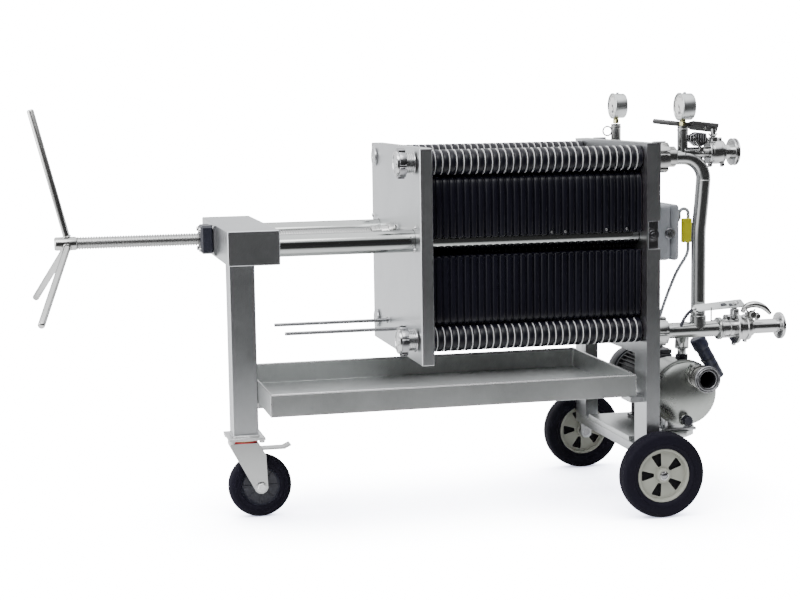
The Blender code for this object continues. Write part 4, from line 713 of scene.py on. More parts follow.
def wheel_web(origin, half, wall, black):
    """A flat web with five windows, sunk from both sides to a thin wall; the black of the windows' walls is painted
    shade.
    """
    corner = [(20.5, -4), (50.5, -12.5), (50.5, 12.5), (20.5, 4)]
    for face in (1, -1):
        sub = bmesh.new()
        rims = [[sub.verts.new((x, y, half)) for x, y in polygon(r, n)] for r, n in ((16.5, 40), (57, 80))]
        for k in range(5):
            spin = Matrix.Rotation(radians(180 + 72 * k), 3, "Z")
            shape = rounded(corner, 3.2, 4)
            rims.append([sub.verts.new((spin @ Vector((x, y, 0))) + Vector((0, 0, half))) for x, y in shape])
        edges = [sub.edges.new((ring[i], ring[(i + 1) % len(ring)])) for ring in rims for i in range(len(ring))]
        bmesh.ops.triangle_fill(sub, edges=edges, use_beauty=True)
        for ring in rims[2:]:
            low = [sub.verts.new((v.co.x, v.co.y, wall)) for v in ring]
            for i in range(len(ring)):
                j = (i + 1) % len(ring)
                sub.faces.new((ring[i], ring[j], low[j], low[i])).material_index = black
            sub.faces.new(low).material_index = black
        bmesh.ops.recalc_face_normals(sub, faces=sub.faces)
        sub.transform(shift(origin) @ AXES["-Y"] @ Matrix.Diagonal((1, 1, face, 1)))
        add(sub)


for side, sy in (("near", -1), ("far", 1)):
    o = at(AXLE_X, sy * WY, WR)
    hub = [(10.6, -18.5), (15, -18.5), (16, -17.2), (16.5, -6), (16.5, 6), (16, 17.2), (15, 18.5), (10.6, 18.5)]
    hoop(hub, 0.6, o, "-Y", 56)
    outer = [(56, -6), (57.2, -15), (58, -16.5), (62, -16.5), (63, -15.5), (63, 15.5), (62, 16.5), (58, 16.5),
             (57.2, 15), (56, 6)]
    hoop(outer, 0.5, o, "-Y", 96)
    wheel_web(o, 6.2, 1.2, 1)
    # The rim's second material, near-black, is painted shade on the windows' walls.
    piece(f"wheel_rim_{side}", [M_RIM, M_HOLLOW_SHADE], f"rim_{side}", f"trolley_wheel_{side}")
    half = [(63.3, 16), (65.5, 19), (69, 21.2), (73, 21.9), (73.8, 21.2), (75, 21.2), (75.7, 22), (88, 22), (93, 21.2),
            (96.5, 18.6), (98.5, 15), (99.4, 10.5), (99.9, 5.5), (99.2, 4.8), (99.2, 4), (100, 3.3), (100, 0.6)]
    prof = half + [(r, -h) for r, h in reversed(half)]
    lathe(prof, o, "-Y", 128, closed=True)
    piece(f"wheel_tyre_{side}", M_TYRE, f"tyre_{side}", f"trolley_wheel_{side}")

# ---------------------------------------------------------------- swivel caster
CZ, CR, TRAIL = 196.7, 74.7, 33.5
for sx in (-1, 1):
    for sy in (-1, 1):
        hexagon(at(POST_X + sx * 35, sy * 43, CZ - 6), "-Z", 6.5, 5, 0.3, 8)
piece("caster_bolts", M_BOLT)
rz = 180.4
prof = [(0, rz + 3), (29.5, rz + 3), (31, rz + 4.5), (31, rz + 7.5), (29, rz + 9.8), (0, rz + 9.9)]
lathe(prof, at(POST_X, 0, 0), "+Z", 56)
piece("caster_race_ring", M_RACE, "caster_race")
hoop([(20, rz + 0.1), (31.8, rz + 0.1), (31.8, rz + 2.9), (20, rz + 2.9)], 0.7, at(POST_X, 0, 0), "+Z", 56)
piece("caster_seal", M_RED)
dress("caster_fork", M_PIPE, 1.2)
dress("brake_pedal", M_PIPE, 0.6)
FX = POST_X + TRAIL
for sy, ax in ((-1, "-Y"), (1, "+Y")):
    o = at(FX, sy * 27.5, CR)
    hexagon(o, ax, 10.3, 6.4, 0.2, 12.5)
    lathe(steps((6.2, 1.5), c=0.5), o + Vector((0, sy * 5.5, 0)), ax, 24)
piece("caster_axle_bolt", M_BOLT, body="caster_fork")
half = [(46.5, 16.5), (50, 18), (56, 18), (56.5, 17.2), (57.5, 17.2), (58, 18), (64, 18), (69, 16.8), (72.2, 13.5),
        (74, 9), (74.7, 4)]
prof = half + [(r, -h) for r, h in reversed(half)]
lathe(prof, at(FX, 0, CR), "-Y", 112, closed=True)
piece("caster_wheel_tyre", M_TYRE, "caster_tyre", "caster_wheel")
hub = [(6.6, -20.5), (12, -20.5), (13.8, -19), (14, -11), (20, -8.5), (40, -8.5), (44, -12), (46.2, -16), (46.2, 16),
       (44, 12), (40, 8.5), (20, 8.5), (14, 11), (13.8, 19), (12, 20.5), (6.6, 20.5)]
hoop(hub, 0.6, at(FX, 0, CR), "-Y", 64)
for k in range(8):
    m = frame_at(at(FX, 0, CR), "-Y") @ turn(45 * k, "Z")
    extrude_outline([(13, -1.2), (43, -1.2), (43, 1.2), (13, 1.2)], 22, m, 0.4, 1)
piece("caster_wheel_hub", M_BLOCK, "caster_hub", "caster_wheel")

# ---------------------------------------------------------------- pump
PX, PZ, PF = 132, 265, -188
PORT_X, PORT_Z = 150, 311
DRAIN_X, DRAIN_Z = 123.5, 205
OUT_X, OUT_Y = 136.5, -128
dish = []
for k in range(13):
    a = k / 12 * radians(62)
    big = 75 / sin(radians(62))
    dish.append((big * sin(a), 1 + 16 * (1 - cos(a)) / (1 - cos(radians(62)))))
dish[0] = (0, 1)
prof = dish + [(75.2, 18), (75, 30), (77.5, 31.2), (80, 32), (80, 35.4), (78.5, 36), (80, 36.6), (80, 39.8),
               (75.2, 40.5), (75, 118), (73.5, 127), (70, 127.8), (48, 128), (48, 140.6), (0, 140.6)]
lathe(prof, at(PX, PF, PZ), "+Y", 96)
hoop([(20, 0), (25.5, 0), (25.8, 12), (28.5, 20), (20, 20)], 0.8, at(PORT_X, PF, PORT_Z), "+Y", 48)
lathe([(0, 0), (11.5, 0), (12.5, 0.8), (13, 10), (15, 18), (0, 18)], at(DRAIN_X, PF, DRAIN_Z), "+Y", 32)
lathe([(0, 60), (12.5, 60), (11.8, 76.5), (0, 77)], at(OUT_X, OUT_Y, PZ), "+Z", 32)
piece("pump_barrel", M_PUMP, "pump_body")
boxy(at(PX - 45, -125, BASE_Z + 0.3), at(PX + 45, -85, BASE_Z + 7), 1.2)
for sx in (-1, 1):
    boxy(at(PX + sx * 30 - 4, -118, BASE_Z + 6), at(PX + sx * 30 + 4, -92, 212), 1)
for sx in (-1, 1):
    hexagon(at(PX + sx * 40, -105, BASE_Z + 7), "+Z", 5.2, 4.2, 0.4, 7)
lean = radians(29.5)
boxy((73, -10, -10), (92, 10, 10), 1.5, 2, shift(at(PX, -100, PZ)) @ Matrix.Rotation(-lean, 4, "Y"))
piece("pump_foot", M_POST)

o = at(PORT_X, PF - 0.3, PORT_Z)
port_l = 255 - 188.3
prof = [(19.2, 0), (25.8, 0), (25.8, 5.5), (24, 6.4), (24, 18), (26.8, 19.2), (27.4, 20.5), (27.4, 26), (24, 27),
        (24, 34)]
for k in range(6):
    h = 35.5 + k * 3.6
    prof += [(23.6, h), (26.2, h + 1.2), (26.2, h + 2.2), (23.6, h + 3.4)]
prof += [(24, 58), (24, 59.4), (19.2, 59.4)]
lathe(prof, o, "-Y", 64, closed=True)
piece("suction_tube", M_STAIN, "pump_port")
ring = [(19.4, 59), (30.5, 59.2), (31.6, 60.2), (31.6, port_l - 1), (30.5, port_l), (28, port_l), (27.4, port_l - 0.8),
        (26.2, port_l - 0.8), (25.6, port_l), (20.8, port_l), (20, port_l - 0.8)]
hoop(ring, 0.3, o, "-Y", 72)
piece("suction_flange", M_DARK, None)
for a in (20, 75, 118, 160, 215, 262, 300, 335):
    x, z = polar(29, a)
    lathe(steps((1.6, 0.8), c=0.3), o + Vector((x, 0.2 - port_l, z)), "-Y", 12)
piece("suction_flange_marks", M_POLISH)
# A thin near-black lining and end disc inside the suction tube: painted shade in the bore.
lathe([(0, 0.4), (18.9, 0.4), (19.1, port_l - 1.2), (18.8, port_l - 1.2), (18.6, 1), (0, 1)], o, "-Y", 48)
piece("suction_bore_shade", M_HOLLOW_SHADE)
o = at(DRAIN_X, PF - 0.3, DRAIN_Z)
lathe(steps((12.5, 11), c=1.2), o, "-Y", 36)
grips = lobed(12, (0, 10.8), (0.14, 10.8), (0.26, 9.8), (0.38, 9.8))
extrude_outline(grips, 6.2, frame_at(o + Vector((0, -14.1, 0)), "-Y"), 0.6, 1)
piece("drain_knob", M_BLOCK, "drain_plug")

# ---------------------------------------------------------------- motor
TOP = 346
my0, my1 = -47, 150
lathe([(0, 0), (56, 0), (64, 2), (64.8, 6), (64.8, 16), (56, 17.5), (56, my1 - my0 - 12), (64, my1 - my0 - 10.5),
       (64, my1 - my0), (0, my1 - my0)], at(PX, my0, PZ), "+Y", 72)
for k in range(36):
    if not 60 < 10 * k < 120:
        m = frame_at(at(PX, (my0 + my1) / 2 + 2, PZ), "+Y") @ turn(10 * k, "Z")
        extrude_outline([(54.5, -1.2), (64.5, -0.8), (64.5, 0.8), (54.5, 1.2)], my1 - my0 - 32, m)
boxy(at(PX - 48, 0, BASE_Z + 0.3), at(PX + 48, 95, BASE_Z + 6.5), 1)
for sx in (-1, 1):
    boxy(at(PX + sx * 34 - 6, 4, BASE_Z + 5.5), at(PX + sx * 34 + 6, 91, 225), 1.5)
boxy(at(PX - 34, 0, TOP - 29), at(PX + 34, 95, TOP - 12), 3, 3)
boxy(at(PX - 33.6, 0.6, TOP - 11.7), at(PX + 33.6, 94.4, TOP - 0.2), 3, 3)
piece("motor_shell", M_MOTOR, "motor")
for sx in (-1, 1):
    for y in (7, 88):
        lathe(steps((3, 1), c=0.3), at(PX + sx * 27.5, y, TOP - 0.2), "+Z", 16)
for sx in (-1, 1):
    for y in (15, 80):
        hexagon(at(PX + sx * 42.5, y, BASE_Z + 6.5), "+Z", 5, 4, 0.2, 6.8)
for a in (45, 135, 225, 315):
    x, z = polar(60, a)
    hexagon(at(PX + x, my0 + 0.5, PZ + z), "-Y", 4.5, 4, 0.2)
piece("motor_screws", M_BOLT)
cy = my1 + 0.3
prof = [(0, 0), (66.5, 0), (67, 1), (67, 38.5), (65, 43), (61, 44.7), (58, 44.7), (57, 43.7), (0, 43.7)]
lathe(prof, at(PX, cy, PZ), "+Y", 72)
for r in (14, 24, 34, 44, 53):
    hoop([(r - 2.2, 43.4), (r + 2.2, 43.4), (r + 2.2, 44.8), (r - 2.2, 44.8)], 0.4, at(PX, cy, PZ), "+Y", 56)
for k in range(4):
    m = frame_at(at(PX, cy + 44.1, PZ), "+Y") @ turn(45 + 90 * k, "Z")
    extrude_outline([(6, -2), (58, -2), (58, 2), (6, 2)], 1.4, m)
piece("motor_fan_cover", M_MOTOR, "motor_cover")

# ---------------------------------------------------------------- capacitor housing and its strap
out = Vector((cos(lean), 0, sin(lean)))
down = Vector((sin(lean), 0, -cos(lean)))
ho = at(PX, -100, PZ) + out * 108 - down * 80
hm = shift(ho) @ Matrix((
    (out.x, 0, down.x, 0), (0, -1, 0, 0), (out.z, 0, down.z, 0), (0, 0, 0, 1)))
prof = [(0, 0), (16.5, 0), (18.8, 1.8), (19.5, 4.5), (19.5, 27.5), (18.8, 29.5), (16.5, 30.2), (16.5, 112),
        (15.5, 114.5), (13.5, 115.8), (0, 116)]
lathe(prof, ho, hm.to_3x3().to_4x4(), 48)
for k in range(10):
    m = hm @ turn(36 * k, "Z") @ shift((0, 0, 16))
    extrude_outline([(18.8, -1.2), (19.8, -1.2), (19.8, 1.2), (18.8, 1.2)], 20, m)
piece("capacitor_housing", M_SLATE, "capacitor")
for h in (58, 78):
    hoop([(16.3, h), (17.2, h), (17.2, h + 4.5), (16.3, h + 4.5)], 0.3, ho, hm.to_3x3().to_4x4(), 48)
piece("capacitor_straps", M_BLOCK)
for h in (60.3, 80.3):
    for a in (150, 215):
        q = hm @ turn(a, "Z") @ shift((17, 0, h))
        lathe(steps((2.6, 1.6), c=0.4), Vector((0, 0, 0)), q @ AXES["+X"], 16)
piece("capacitor_strap_rivets", M_POLISH)

# ---------------------------------------------------------------- upper line
PY, UZ = -200, 830
slotted_nut(at(FACE, PY, UZ), "+X", 36.5, 30, 6, 14, 1.4)
hoop([(15, 0), (29, 0), (29, 1.2), (24, 1.2), (24, 20), (22.5, 21.8), (15, 21.8)], 0.6, at(FACE + 30, PY, UZ), "+X", 56)
piece("upper_ring_nut", M_MID, "ring_nut_upper")

PIPE_Z, RX, RTX, BEND = 828, 146.5, 157.5, 52
MZ = 423
GX = 105.5
route = [at(85.6, PY, PIPE_Z), at(95, PY, PIPE_Z)]
for k in range(15):
    x, z = polar(BEND, 90 - 90 * k / 14)
    route.append(at(RTX - BEND + x, PY, PIPE_Z - BEND + z))
route += [at(RTX - 1.2, PY, 760), at(RTX - 4.5, PY, 720), at(RX + 3, PY, 685), at(RX + 0.6, PY, 660)]
for z in (640, 580, 520, MZ + 34.5):
    route.append(at(RX, PY, z))
tube(route, 16.8, 40)
for x, z in ((RTX - 0.2, 774), (RX, 464)):
    bead([at(x + dx, PY + dy, z) for dx, dy in polygon(16.9, 24)], 0.6, 6, True, 51)
lathe(steps((15.8, 3), (13.4, 166.5 - GX - 3), c=0.6), at(GX, PY, 838), "+X", 40)
lathe([(0, 0), (12.5, 0), (12.5, 60), (13, 61), (13, 65), (12, 66), (12.5, 67), (12.5, 71.2), (0, 71.8)],
      at(GX, PY, PIPE_Z), "+Z", 40)
piece("riser_line", M_PIPE, "riser_pipe")

VX, VZ = 166.8, 838
prof = [(0, 0), (25.8, 0), (26.5, 1), (26.2, 3), (24, 4), (26.2, 5), (26.5, 7), (25.8, 8), (26.8, 8.4), (27.5, 10),
        (27.5, 28), (26.8, 29.8), (26.2, 30.2), (26.5, 31.6), (26.2, 33.5), (24, 34.2), (26.2, 35.2), (26.5, 37),
        (25.5, 38), (17.2, 38.3), (17, 58.5), (31.4, 59), (32, 60), (31.4, 62.2), (26.5, 62.8), (26.5, 66.4),
        (31.4, 67), (32, 68.2), (31.4, 70.4), (16, 70.7), (15.2, 70), (15, 45), (0, 45)]
lathe(prof, at(VX, PY, VZ), "+X", 64)
UX = 681.351 - OX
lathe([(0, 0), (11, 0), (11, 33.5), (10, 35.5), (7, 35.7), (6, 36.2), (6, 54.6), (0, 54.6)], at(UX, PY, VZ), "+Z", 32)
for k in range(4):
    y, z = polar(19, 45 + 90 * k)
    hexagon(at(VX + 8, PY + y, VZ + z), "+X", 3.8, 2.6, 0.1)
# clamp rings, each with a lobe above and one below
for x in (VX + 4, VX + 34.2):
    for a in (75, 255):
        q = Vector((0, cos(radians(a)), sin(radians(a))))
        m = shift(at(x, PY, VZ) + q * 29) @ turn(a - 90, "X")
        boxy((-4, -5.5, -4.5), (4, 5.5, 5.5), 1.2, 2, m)
piece("upper_butterfly_valve", M_POLISH, "upper_valve")
q = at(VX + 4, PY - 6, VZ + 32.5)
tube([q, q + Vector((0, -10.5, 3)), q + Vector((-1, -20, 5.5))], [2.2, 2.2, 2], 10)
for s in (-1, 1):
    w0 = q + Vector((0, -15, 4))
    tube([w0, w0 + Vector((s * 6, -1, 3)), w0 + Vector((s * 10.5, -1, 7.5))], [3, 2.4, 1.8], 10)
piece("upper_clamp_wing", M_POLISH)

piv = at(UX, PY, 893.4)
lm = shift(piv) @ turn(-15, "Z") @ turn(7, "Y")
plate = lm @ turn(-42, "X")
pts = rounded([(11, -15), (11, 15), (-50, 15), (-62, 7), (-62, -7), (-50, -15)], 3, 4)
extrude_outline(pts, 3.8, plate @ shift((0, 0, 2)), 0.6, 1)
g0, g1 = 52, 141
tube([plate @ Vector((-t, 0, 2)) for t in (g0, g0 + 4, g1 - 3, g1 - 1, g1)], [4.5, 6, 6, 5.2, 3], 24)
piece("upper_valve_lever", M_LEVER, "upper_lever", "upper_lever")
for x, ax in ((0, 1), (-19, -1)):
    o = plate @ Vector((x, 0, 4 if ax > 0 else 0.1))
    m = (plate @ (Matrix.Identity(4) if ax > 0 else AXES["-Z"])).to_3x3().to_4x4()
    lathe(steps((4.2, 2.2), (3, 1.4), c=0.5), o, m, 20)
piece("upper_lever_bolts", M_POLISH, body="upper_lever")
# locking sector and clamp arm between the gauge's stub and the valve
m = shift(at(0, PY - 3, 0)) @ turn(90, "X")
pts = rounded([(164, 860), (160, 883), (135, 886), (119, 879), (119, 864), (133, 853), (148, 852)], 4, 4)
extrude_outline(pts, 20, m, 3, 3)
for k in range(6):
    boxy(at(126 + 6 * k, PY - 15, 859 + k), at(128.5 + 6 * k, PY - 12.5, 880), 0.6, 1)
piece("upper_lock_sector", M_DARK)
a0, a1 = at(125, PY - 18.5, 874), at(149, PY - 18.5, 838)
tube([a0, a0.lerp(a1, 0.05), a0.lerp(a1, 0.95), a1], [2.2, 3.2, 3.2, 2], 14)
for s0 in (0.12, 0.80):
    lathe(steps((4.8, 3), c=0.6), a0.lerp(a1, s0), "-Y", 18)
piece("upper_clamp_arm", M_POLISH)

# ---------------------------------------------------------------- lower line
slotted_nut(at(FACE, PY, MZ), "+X", 34.5, 30, 5.6, 30, 1.4)
ml = 203 - FACE
prof = [(0, 29), (28, 29), (28, 31.2), (18.5, 32), (18.5, ml - 9.5), (20, ml - 8.5), (25.8, ml - 8), (26.5, ml - 6.8),
        (26.2, ml - 4.5), (24.5, ml - 3.5), (26.2, ml - 2.5), (26.5, ml - 0.8), (25.5, ml), (0, ml)]
lathe(prof, at(FACE, PY, MZ), "+X", 56)
lathe([(0, 0), (19, 0), (19, 32.2), (17.5, 33.8), (0, 33.8)], at(RX, PY, MZ), "+Z", 40)
ring = [at(RX + 19 * cos(2 * pi * k / 24), PY + 19 * sin(2 * pi * k / 24),
           MZ + 15 * abs(cos(2 * pi * k / 24)) + 2) for k in range(24)]
bead(ring, 0.8, 6, True, 55)
foot = PZ + 77
lathe(steps((10.5, 22), c=0.6), at(OUT_X, OUT_Y, foot + 12.3), "+Z", 32)
route = smooth_path([at(OUT_X, OUT_Y, foot + 25), at(OUT_X, OUT_Y, foot + 36), at(OUT_X - 2, OUT_Y - 8, foot + 56),
                     at(OUT_X - 7, OUT_Y - 30, MZ - 4), at(122.5, -186, MZ)], 8)
tube(route, [13.5, 15.5] + [16.5] * (len(route) - 2), 36)
piece("lower_manifold", M_PIPE, "manifold")
grips = lobed(16, (0, 15), (0.16, 15), (0.22, 14), (0.34, 14))
extrude_outline(grips, 11.8, shift(at(OUT_X, OUT_Y, foot + 6.3)), 1, 2)
piece("outlet_ring_nut", M_BLOCK, "outlet_nut")

lx = 203.3
prof = [(0, 0), (21.8, 0), (22.5, 1), (22.5, 3), (23.5, 3.5), (23.5, 14), (22.2, 15), (22.2, 18), (23.5, 19),
        (23.5, 32.5), (36.5, 33.2), (38, 34.5), (38, 40.5), (36.5, 41.8), (29.2, 42.2), (29, 59), (30.2, 60.2),
        (31, 61.2), (31, 69), (30.2, 70.2), (21.2, 70.6), (21, 80), (17.2, 81), (16.8, 85), (16.8, 146), (18.5, 146.6),
        (31.2, 147.2), (32, 148.2), (32, 153.5), (31.2, 154.8), (16.5, 155), (15.2, 154.5), (15, 90), (0, 90)]
lathe(prof, at(lx, PY, MZ), "+X", 64)
LX = 739.351 - OX
lathe([(0, 30), (11, 30), (11, 42.5), (10, 44.5), (7, 44.7), (6, 45.2), (6, 54.4), (0, 54.4)], at(LX, PY, MZ), "+Z", 32)
lathe([(0, 0), (11, 0), (11, 28.5), (9, 31.2), (0, 31.5)], at(221.3, PY, MZ), "+Z", 32)
for k in range(4):
    y, z = polar(23.2, 45 + 90 * k)
    tube([at(lx + 6, PY + y, MZ + z), at(lx + 33, PY + y, MZ + z)], 2.4, 10)
for x in (lx + 37.5, lx + 65):
    for a in (100, 280):
        q = Vector((0, cos(radians(a)), sin(radians(a))))
        r = 40 if x < lx + 50 else 33
        m = shift(at(x, PY, MZ) + q * r) @ turn(a - 90, "X")
        boxy((-4, -5.5, -6), (4, 5.5, 3.5), 1.2, 2, m)
piece("lower_ball_valve", M_POLISH, "lower_valve")
q = at(lx + 65, PY - 6, MZ + 34)
tube([q, q + Vector((1, -13, 2)), q + Vector((1.5, -24, 3))], [2.4, 2.4, 2.2], 10)
for s in (-1, 1):
    w0 = q + Vector((1, -17, 2.5))
    tube([w0, w0 + Vector((s * 7, -1, 3)), w0 + Vector((s * 11.5, -1, 8))], [3.4, 2.7, 2], 10)
piece("lower_clamp_wing", M_POLISH)

piv = at(LX, PY, 478)
lm = shift(piv) @ turn(20, "Z")
plate = lm @ turn(40, "X")
pts = rounded([(27, -12), (27, 12), (-120, 10.5), (-129, 7), (-129, -7), (-120, -10.5)], 3, 4)
extrude_outline(pts, 3.6, plate @ shift((0, 0, 2)), 0.8, 2)
boxy((-86, -10.5, -30), (-82, -8.5, 1), 0.8, 2, lm)
boxy((-86, -10.5, -32), (-74, -8.5, -29), 0.8, 2, lm)
ball = [(7.2 * sin(radians(t)), -7.2 * cos(radians(t))) for t in range(0, 181, 15)]
lathe([(max(r, 0), h) for r, h in ball], lm @ Vector((-130, 0, -1)), "+Z", 28)
piece("lower_valve_lever", M_TRAY, "lower_lever", "lower_lever")
route = smooth_path([lm @ Vector(v) for v in ((-130, 0, -1), (-140, 0, -4), (-153, 0, -13), (-164, 0, -26),
                                              (-170, 0, -38))], 5)
tube(route, [4] * (len(route) - 2) + [3.6, 2], 16)
for x, y, w in ((-38, 0, 10), (-17, -3, 6), (6, 2, 5)):
    pts = rounded([(x - w, y - 4.2), (x + w, y - 3), (x + w * 0.6, y + 4), (x - w * 0.7, y + 3.6)], 1.2, 3)
    extrude_outline(pts, 1.2, plate @ shift((0, 0, 4.2)))
piece("lower_lever_trigger", M_BLOCK, body="lower_lever")
lathe(steps((5.5, 2.4), (4, 2), c=0.5), plate @ Vector((0, 0, 4)), plate.to_3x3().to_4x4(), 20)
piece("lower_lever_bolt", M_POLISH, body="lower_lever")
route = smooth_path([at(256, PY - 6, 460), at(264, PY - 12, 474), at(282, PY - 20, 479), at(302, PY - 25, 472),
                     at(319, PY - 26, 456)], 6)
n = len(route) - 1
tube(route, [3 + 5 * sin(pi * (0.12 + 0.80 * i / n)) for i in range(n + 1)], 20)
for x, z, r in ((270, 456, 8.5), (283, 452, 7)):
    hexagon(at(x, PY - 28, z), "-Y", r, 8, 0.3, r * 1.25)
    tube([at(x, PY - 29, z), at(x, PY - 5, z - 6)], 4, 14)
piece("lower_clamp_crescent", M_MID)

# ---------------------------------------------------------------- far union
slotted_nut(at(FACE, -PY, UZ), "+X", 36.5, 30, 6, 22, 1.4)
lathe([(0, 0), (29, 0), (29, 1.4), (18, 2), (18, 44), (19.5, 44.8), (23.5, 45.2), (24, 46.5), (24, 52), (22.5, 53),
       (0, 53)], at(FACE + 30, -PY, UZ), "+X", 56)
lathe([(0, 0), (12.5, 0), (12.5, 58), (13, 59), (13, 63), (12, 64), (12.5, 65), (12.5, 69.2), (0, 69.8)],
      at(92, -PY, UZ), "+Z", 40)
piece("far_union_line", M_MID, "far_union")
tube([at(x, 200, z) for x, z in arc((69, 881.5), 11.5, 0, 360, 32)], 2, 12)
piece("far_clamp_ring", M_DARK)


# ---------------------------------------------------------------- gauges
def gauge(name, node, stem_x, y):
    """A pressure gauge that faces the hand wheel: case, connector, dial, marks, knob and plug."""
    cz = 944.5
    face = at(stem_x - 11, y, cz)
    prof = [(28, 1.8), (28.8, 0), (31.5, 0), (32.5, 0.8), (32.5, 4), (31.5, 4.8), (30.8, 5.4), (30.8, 30), (29.5, 32.2),
            (26.2, 33), (0, 33), (0, 3), (28, 3)]
    lathe(prof, face, "+X", 72)
    stem = at(stem_x, y, 900.3)
    lathe([(0, 0), (6, 0), (6, 1), (6, 17), (0, 17)], stem, "+Z", 28)
    piece(name + "_case", M_TRAY, node)
    extrude_outline(polygon(8.5, 6, 10), 10, shift(stem + Vector((0, 0, 5.5))), 1, 1)
    lathe(steps((6.8, 7), c=0.6), stem + Vector((0, 0, 10)), "+Z", 28)
    piece(name + "_connector", M_BRASS)
    lathe([(0, 2.2), (27.4, 2.2), (28, 3), (0, 3)], face, "+X", 56)
    piece(name + "_dial", M_DIAL, None)
    m = shift(face + Vector((2, 0, 0))) @ AXES["-X"]
    for k in range(31):
        inner, w = (22.8, 0.25) if k % 5 else (20.5, 0.45)
        q = m @ turn(225 - 9 * k, "Z")
        extrude_outline([(inner, -w), (24.8, -w), (24.8, w), (inner, w)], 0.3, q)
    q = m @ turn(213, "Z") @ shift((0, 0, 0.6))
    extrude_outline([(-6, -0.9), (20, -0.3), (20, 0.3), (-6, 0.9)], 0.4, q)
    lathe(steps((2.2, 1.2), c=0.3), face + Vector((1.8, 0, 0)), "-X", 20)
    piece(name + "_marks", M_INK)
    hoop([(1.6, 0), (3.6, 0), (3.6, 1), (1.6, 1)], 0.2, face + Vector((1.8, 0, -14)), "-X", 20)
    piece(name + "_knob", M_DARK)
    lathe(steps((3.6, 3), (2.8, 1), c=0.6), at(stem_x + 4, y, cz + 30), "+Z", 16)
    piece(name + "_plug", M_BOX)


gauge("near_gauge", "gauge_near", GX, -200)
gauge("far_gauge", "gauge_far", 92, 200)

# ---------------------------------------------------------------- switch box, cable, tag
BX0, BX1, BZ0, BZ1 = FACE, 137.3, 578, 712
boxy(at(BX0, -109.5, BZ0 + 0.5), at(BX1 - 20, 59.5, BZ1 - 0.5), 11, 4)
boxy(at(BX1 - 21, -110, BZ0), at(BX1, 60, BZ1), 8, 3)
for sy in (-98, 48):
    for sz in (BZ0 + 12, BZ1 - 12):
        lathe([(0, 0), (4.5, 0), (4.5, 0.4), (3.2, 0.6), (3, -0.6), (0, -0.6)], at(BX1, sy, sz), "+X", 20)
piece("switch_case", M_BOX, "switch_box")
ko = at(112, -109.6, 644)
lathe([(0, 0), (12.5, 0), (12.5, 2.2), (10.8, 3), (10.8, 10), (9.8, 12), (0, 12.2)], ko, "-Y", 40)
boxy(ko + Vector((-2.2, -12.6, -10)), ko + Vector((2.2, -2.6, 10)), 1)
piece("switch_knob", M_DARK)

loop_x, loop_r, loop_z = BX1 + 17.5, 11.5, 688.5
CABLE_Y = -92
tx, ty = 149, 47.5
points = [at(BX1 + 0.3, CABLE_Y, 676), at(loop_x - loop_r, CABLE_Y, 677)]
for k in range(9):
    x, z = polar(loop_r, 180 - 180 * k / 8)
    points.append(at(loop_x + x, CABLE_Y, loop_z + z))
points += [at(loop_x + loop_r, CABLE_Y, 655), at(loop_x + loop_r, CABLE_Y, 620),
           at(loop_x + loop_r - 1, CABLE_Y + 4, 590), at(loop_x, -46, 540), at(tx + 3, 20, 460), at(tx, ty, 406),
           at(tx, ty, TOP + 0.3)]
line = smooth_path(points, 3)
tube(line, 4, 20)
cable = piece("motor_cable", M_CABLE, "cable")
lathe(steps((8.5, 4), (6.8, 2), c=0.6), at(BX1 - 0.8, CABLE_Y, 676), "+X", 24)
lathe(steps((9, 5), (7, 7), c=0.8), at(tx, ty, TOP - 0.5), "+Z", 24)
piece("cable_glands", M_BLOCK)
boxy(at(157.8 - 12.5, -108.3, 620), at(157.8 + 12.5, -96.3, 678), 3, 3)
label = piece("cable_label", M_TAG, "cable_tag")
line = [Vector(v / METRE for v in p) for p in line]
length = sum((b - a).length for a, b in zip(line, line[1:]))


# ---------------------------------------------------------------- floor, light and camera
floor_bm = bmesh.new()
bmesh.ops.create_grid(floor_bm, x_segments=1, y_segments=1, size=30.0)
me = bpy.data.meshes.new("studio_floor")
floor_bm.to_mesh(me)
floor_bm.free()
floor = bpy.data.objects.new("studio_floor", me)
bpy.context.scene.collection.objects.link(floor)
mat, nt, b = new_material("floor_white")
# Seen by other rays, the floor's colour fades to near-black towards the camera side: painted dark surroundings for the
# reflections and bounce light.
place = shader_node(nt, "SeparateXYZ", {0: shader_node(nt, "NewGeometry").outputs["Position"]})
front_floor_darkening = shader_node(nt, "MapRange", {"Value": place.outputs["Y"], "From Min": -1.5, "From Max": -0.45, "To Min": 0.02,
                                    "To Max": 0.93}, interpolation_type="SMOOTHSTEP")
feed(nt, b, {"Base Color": front_floor_darkening.outputs[0], "Roughness": 0.30, "Specular IOR Level": 0.30})
# For camera rays the floor is an emission that dims and turns bluish with ambient occlusion: painted contact shadows
# under the wheels and frame.
ao = shader_node(nt, "AmbientOcclusion", {"Distance": 0.34}, samples=8).outputs["AO"]
shade = shader_node(nt, "MapRange", {"Value": ao, "From Min": 0.15, "From Max": 0.97, "To Min": 1.2, "To Max": 17.0})
painted_shadow_tint = ramp(nt, ao, [(0.30, (0.62, 0.64, 0.80)), (0.95, (0.97, 0.98, 1.0))])
glow = shader_node(nt, "Emission", {"Strength": shade.outputs[0], "Color": painted_shadow_tint})
seen = shader_node(nt, "LightPath").outputs["Is Camera Ray"]
pick = shader_node(nt, "MixShader", {"Fac": seen, 1: b.outputs[0], 2: glow.outputs[0]})
feed(nt, nt.nodes["Material Output"], {"Surface": pick.outputs[0]})
me.materials.append(mat)

world = bpy.data.worlds.new("studio")
bpy.context.scene.world = world
world.use_nodes = True
wn = world.node_tree
way = shader_node(wn, "SeparateXYZ", {0: shader_node(wn, "TexCoord").outputs["Generated"]}).outputs


def band(socket, lo, hi, sign=1.0):
    """A smooth step of one direction component, for the soft boxes of the studio."""
    values = {"Value": maths("MULTIPLY", socket, sign), "From Min": lo, "From Max": hi}
    return shader_node(wn, "MapRange", values, interpolation_type="SMOOTHSTEP").outputs[0]


def maths(op, a, b):
    return shader_node(wn, "Math", {0: a, 1: b}, operation=op).outputs[0]


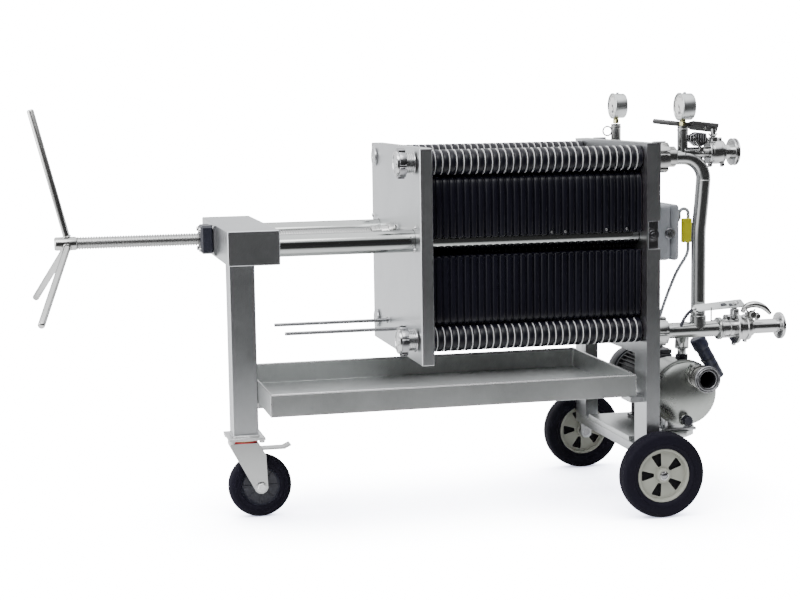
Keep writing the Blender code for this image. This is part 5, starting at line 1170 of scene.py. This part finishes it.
behind = band(way["Y"], -0.15, 0.40)
left = band(way["X"], 0.45, 0.80, -1.0)
above = band(way["Z"], 0.42, 0.80)
lit = maths("MAXIMUM", maths("MAXIMUM", maths("MULTIPLY", behind, 0.55), maths("MULTIPLY", left, 0.9)), above)
level = maths("ADD", maths("MULTIPLY", lit, 2.6), 0.05)
seen = maths("MULTIPLY", shader_node(wn, "LightPath").outputs["Is Camera Ray"], 17.0)
feed(wn, wn.nodes["Background"], {"Strength": maths("MAXIMUM", level, seen), "Color": (0.97, 0.98, 1.0, 1)})


def area(name, place, aim, size, power, color=(1, 1, 1)):
    """A soft light that the camera does not see."""
    data = bpy.data.lights.new(name, "AREA")
    data.shape = "RECTANGLE"
    data.size, data.size_y = size
    data.energy = power
    data.color = color
    ob = bpy.data.objects.new(name, data)
    bpy.context.scene.collection.objects.link(ob)
    ob.location = place
    ob.rotation_euler = (Vector(aim) - Vector(place)).to_track_quat("-Z", "Y").to_euler()
    ob.visible_camera = False


area("key", (-0.8, -1.6, 3.0), (0.1, 0.0, 0.5), (2.4, 1.4), 60)
area("left", (-3.2, -0.2, 1.6), (-0.2, 0.0, 0.5), (1.6, 2.2), 60)

yaw, pitch, roll = 0.2313, 0.1235, -0.0147
fw = Vector((sin(yaw) * cos(pitch), cos(yaw) * cos(pitch), -sin(pitch)))
r0 = Vector((cos(yaw), -sin(yaw), 0))
u0 = r0.cross(fw)
r2 = cos(roll) * r0 + sin(roll) * u0
u2 = -sin(roll) * r0 + cos(roll) * u0
cam_data = bpy.data.cameras.new("camera")
cam = bpy.data.objects.new("camera", cam_data)
bpy.context.scene.collection.objects.link(cam)
cam.matrix_world = Matrix((
    (r2.x, u2.x, -fw.x, -0.9346), (r2.y, u2.y, -fw.y, -3.8604), (r2.z, u2.z, -fw.z, 0.9902), (0, 0, 0, 1)))
cam_data.sensor_fit = "HORIZONTAL"
cam_data.sensor_width = 36.0
cam_data.lens = 75.79
cam_data.clip_end = 100.0
bpy.context.scene.camera = cam
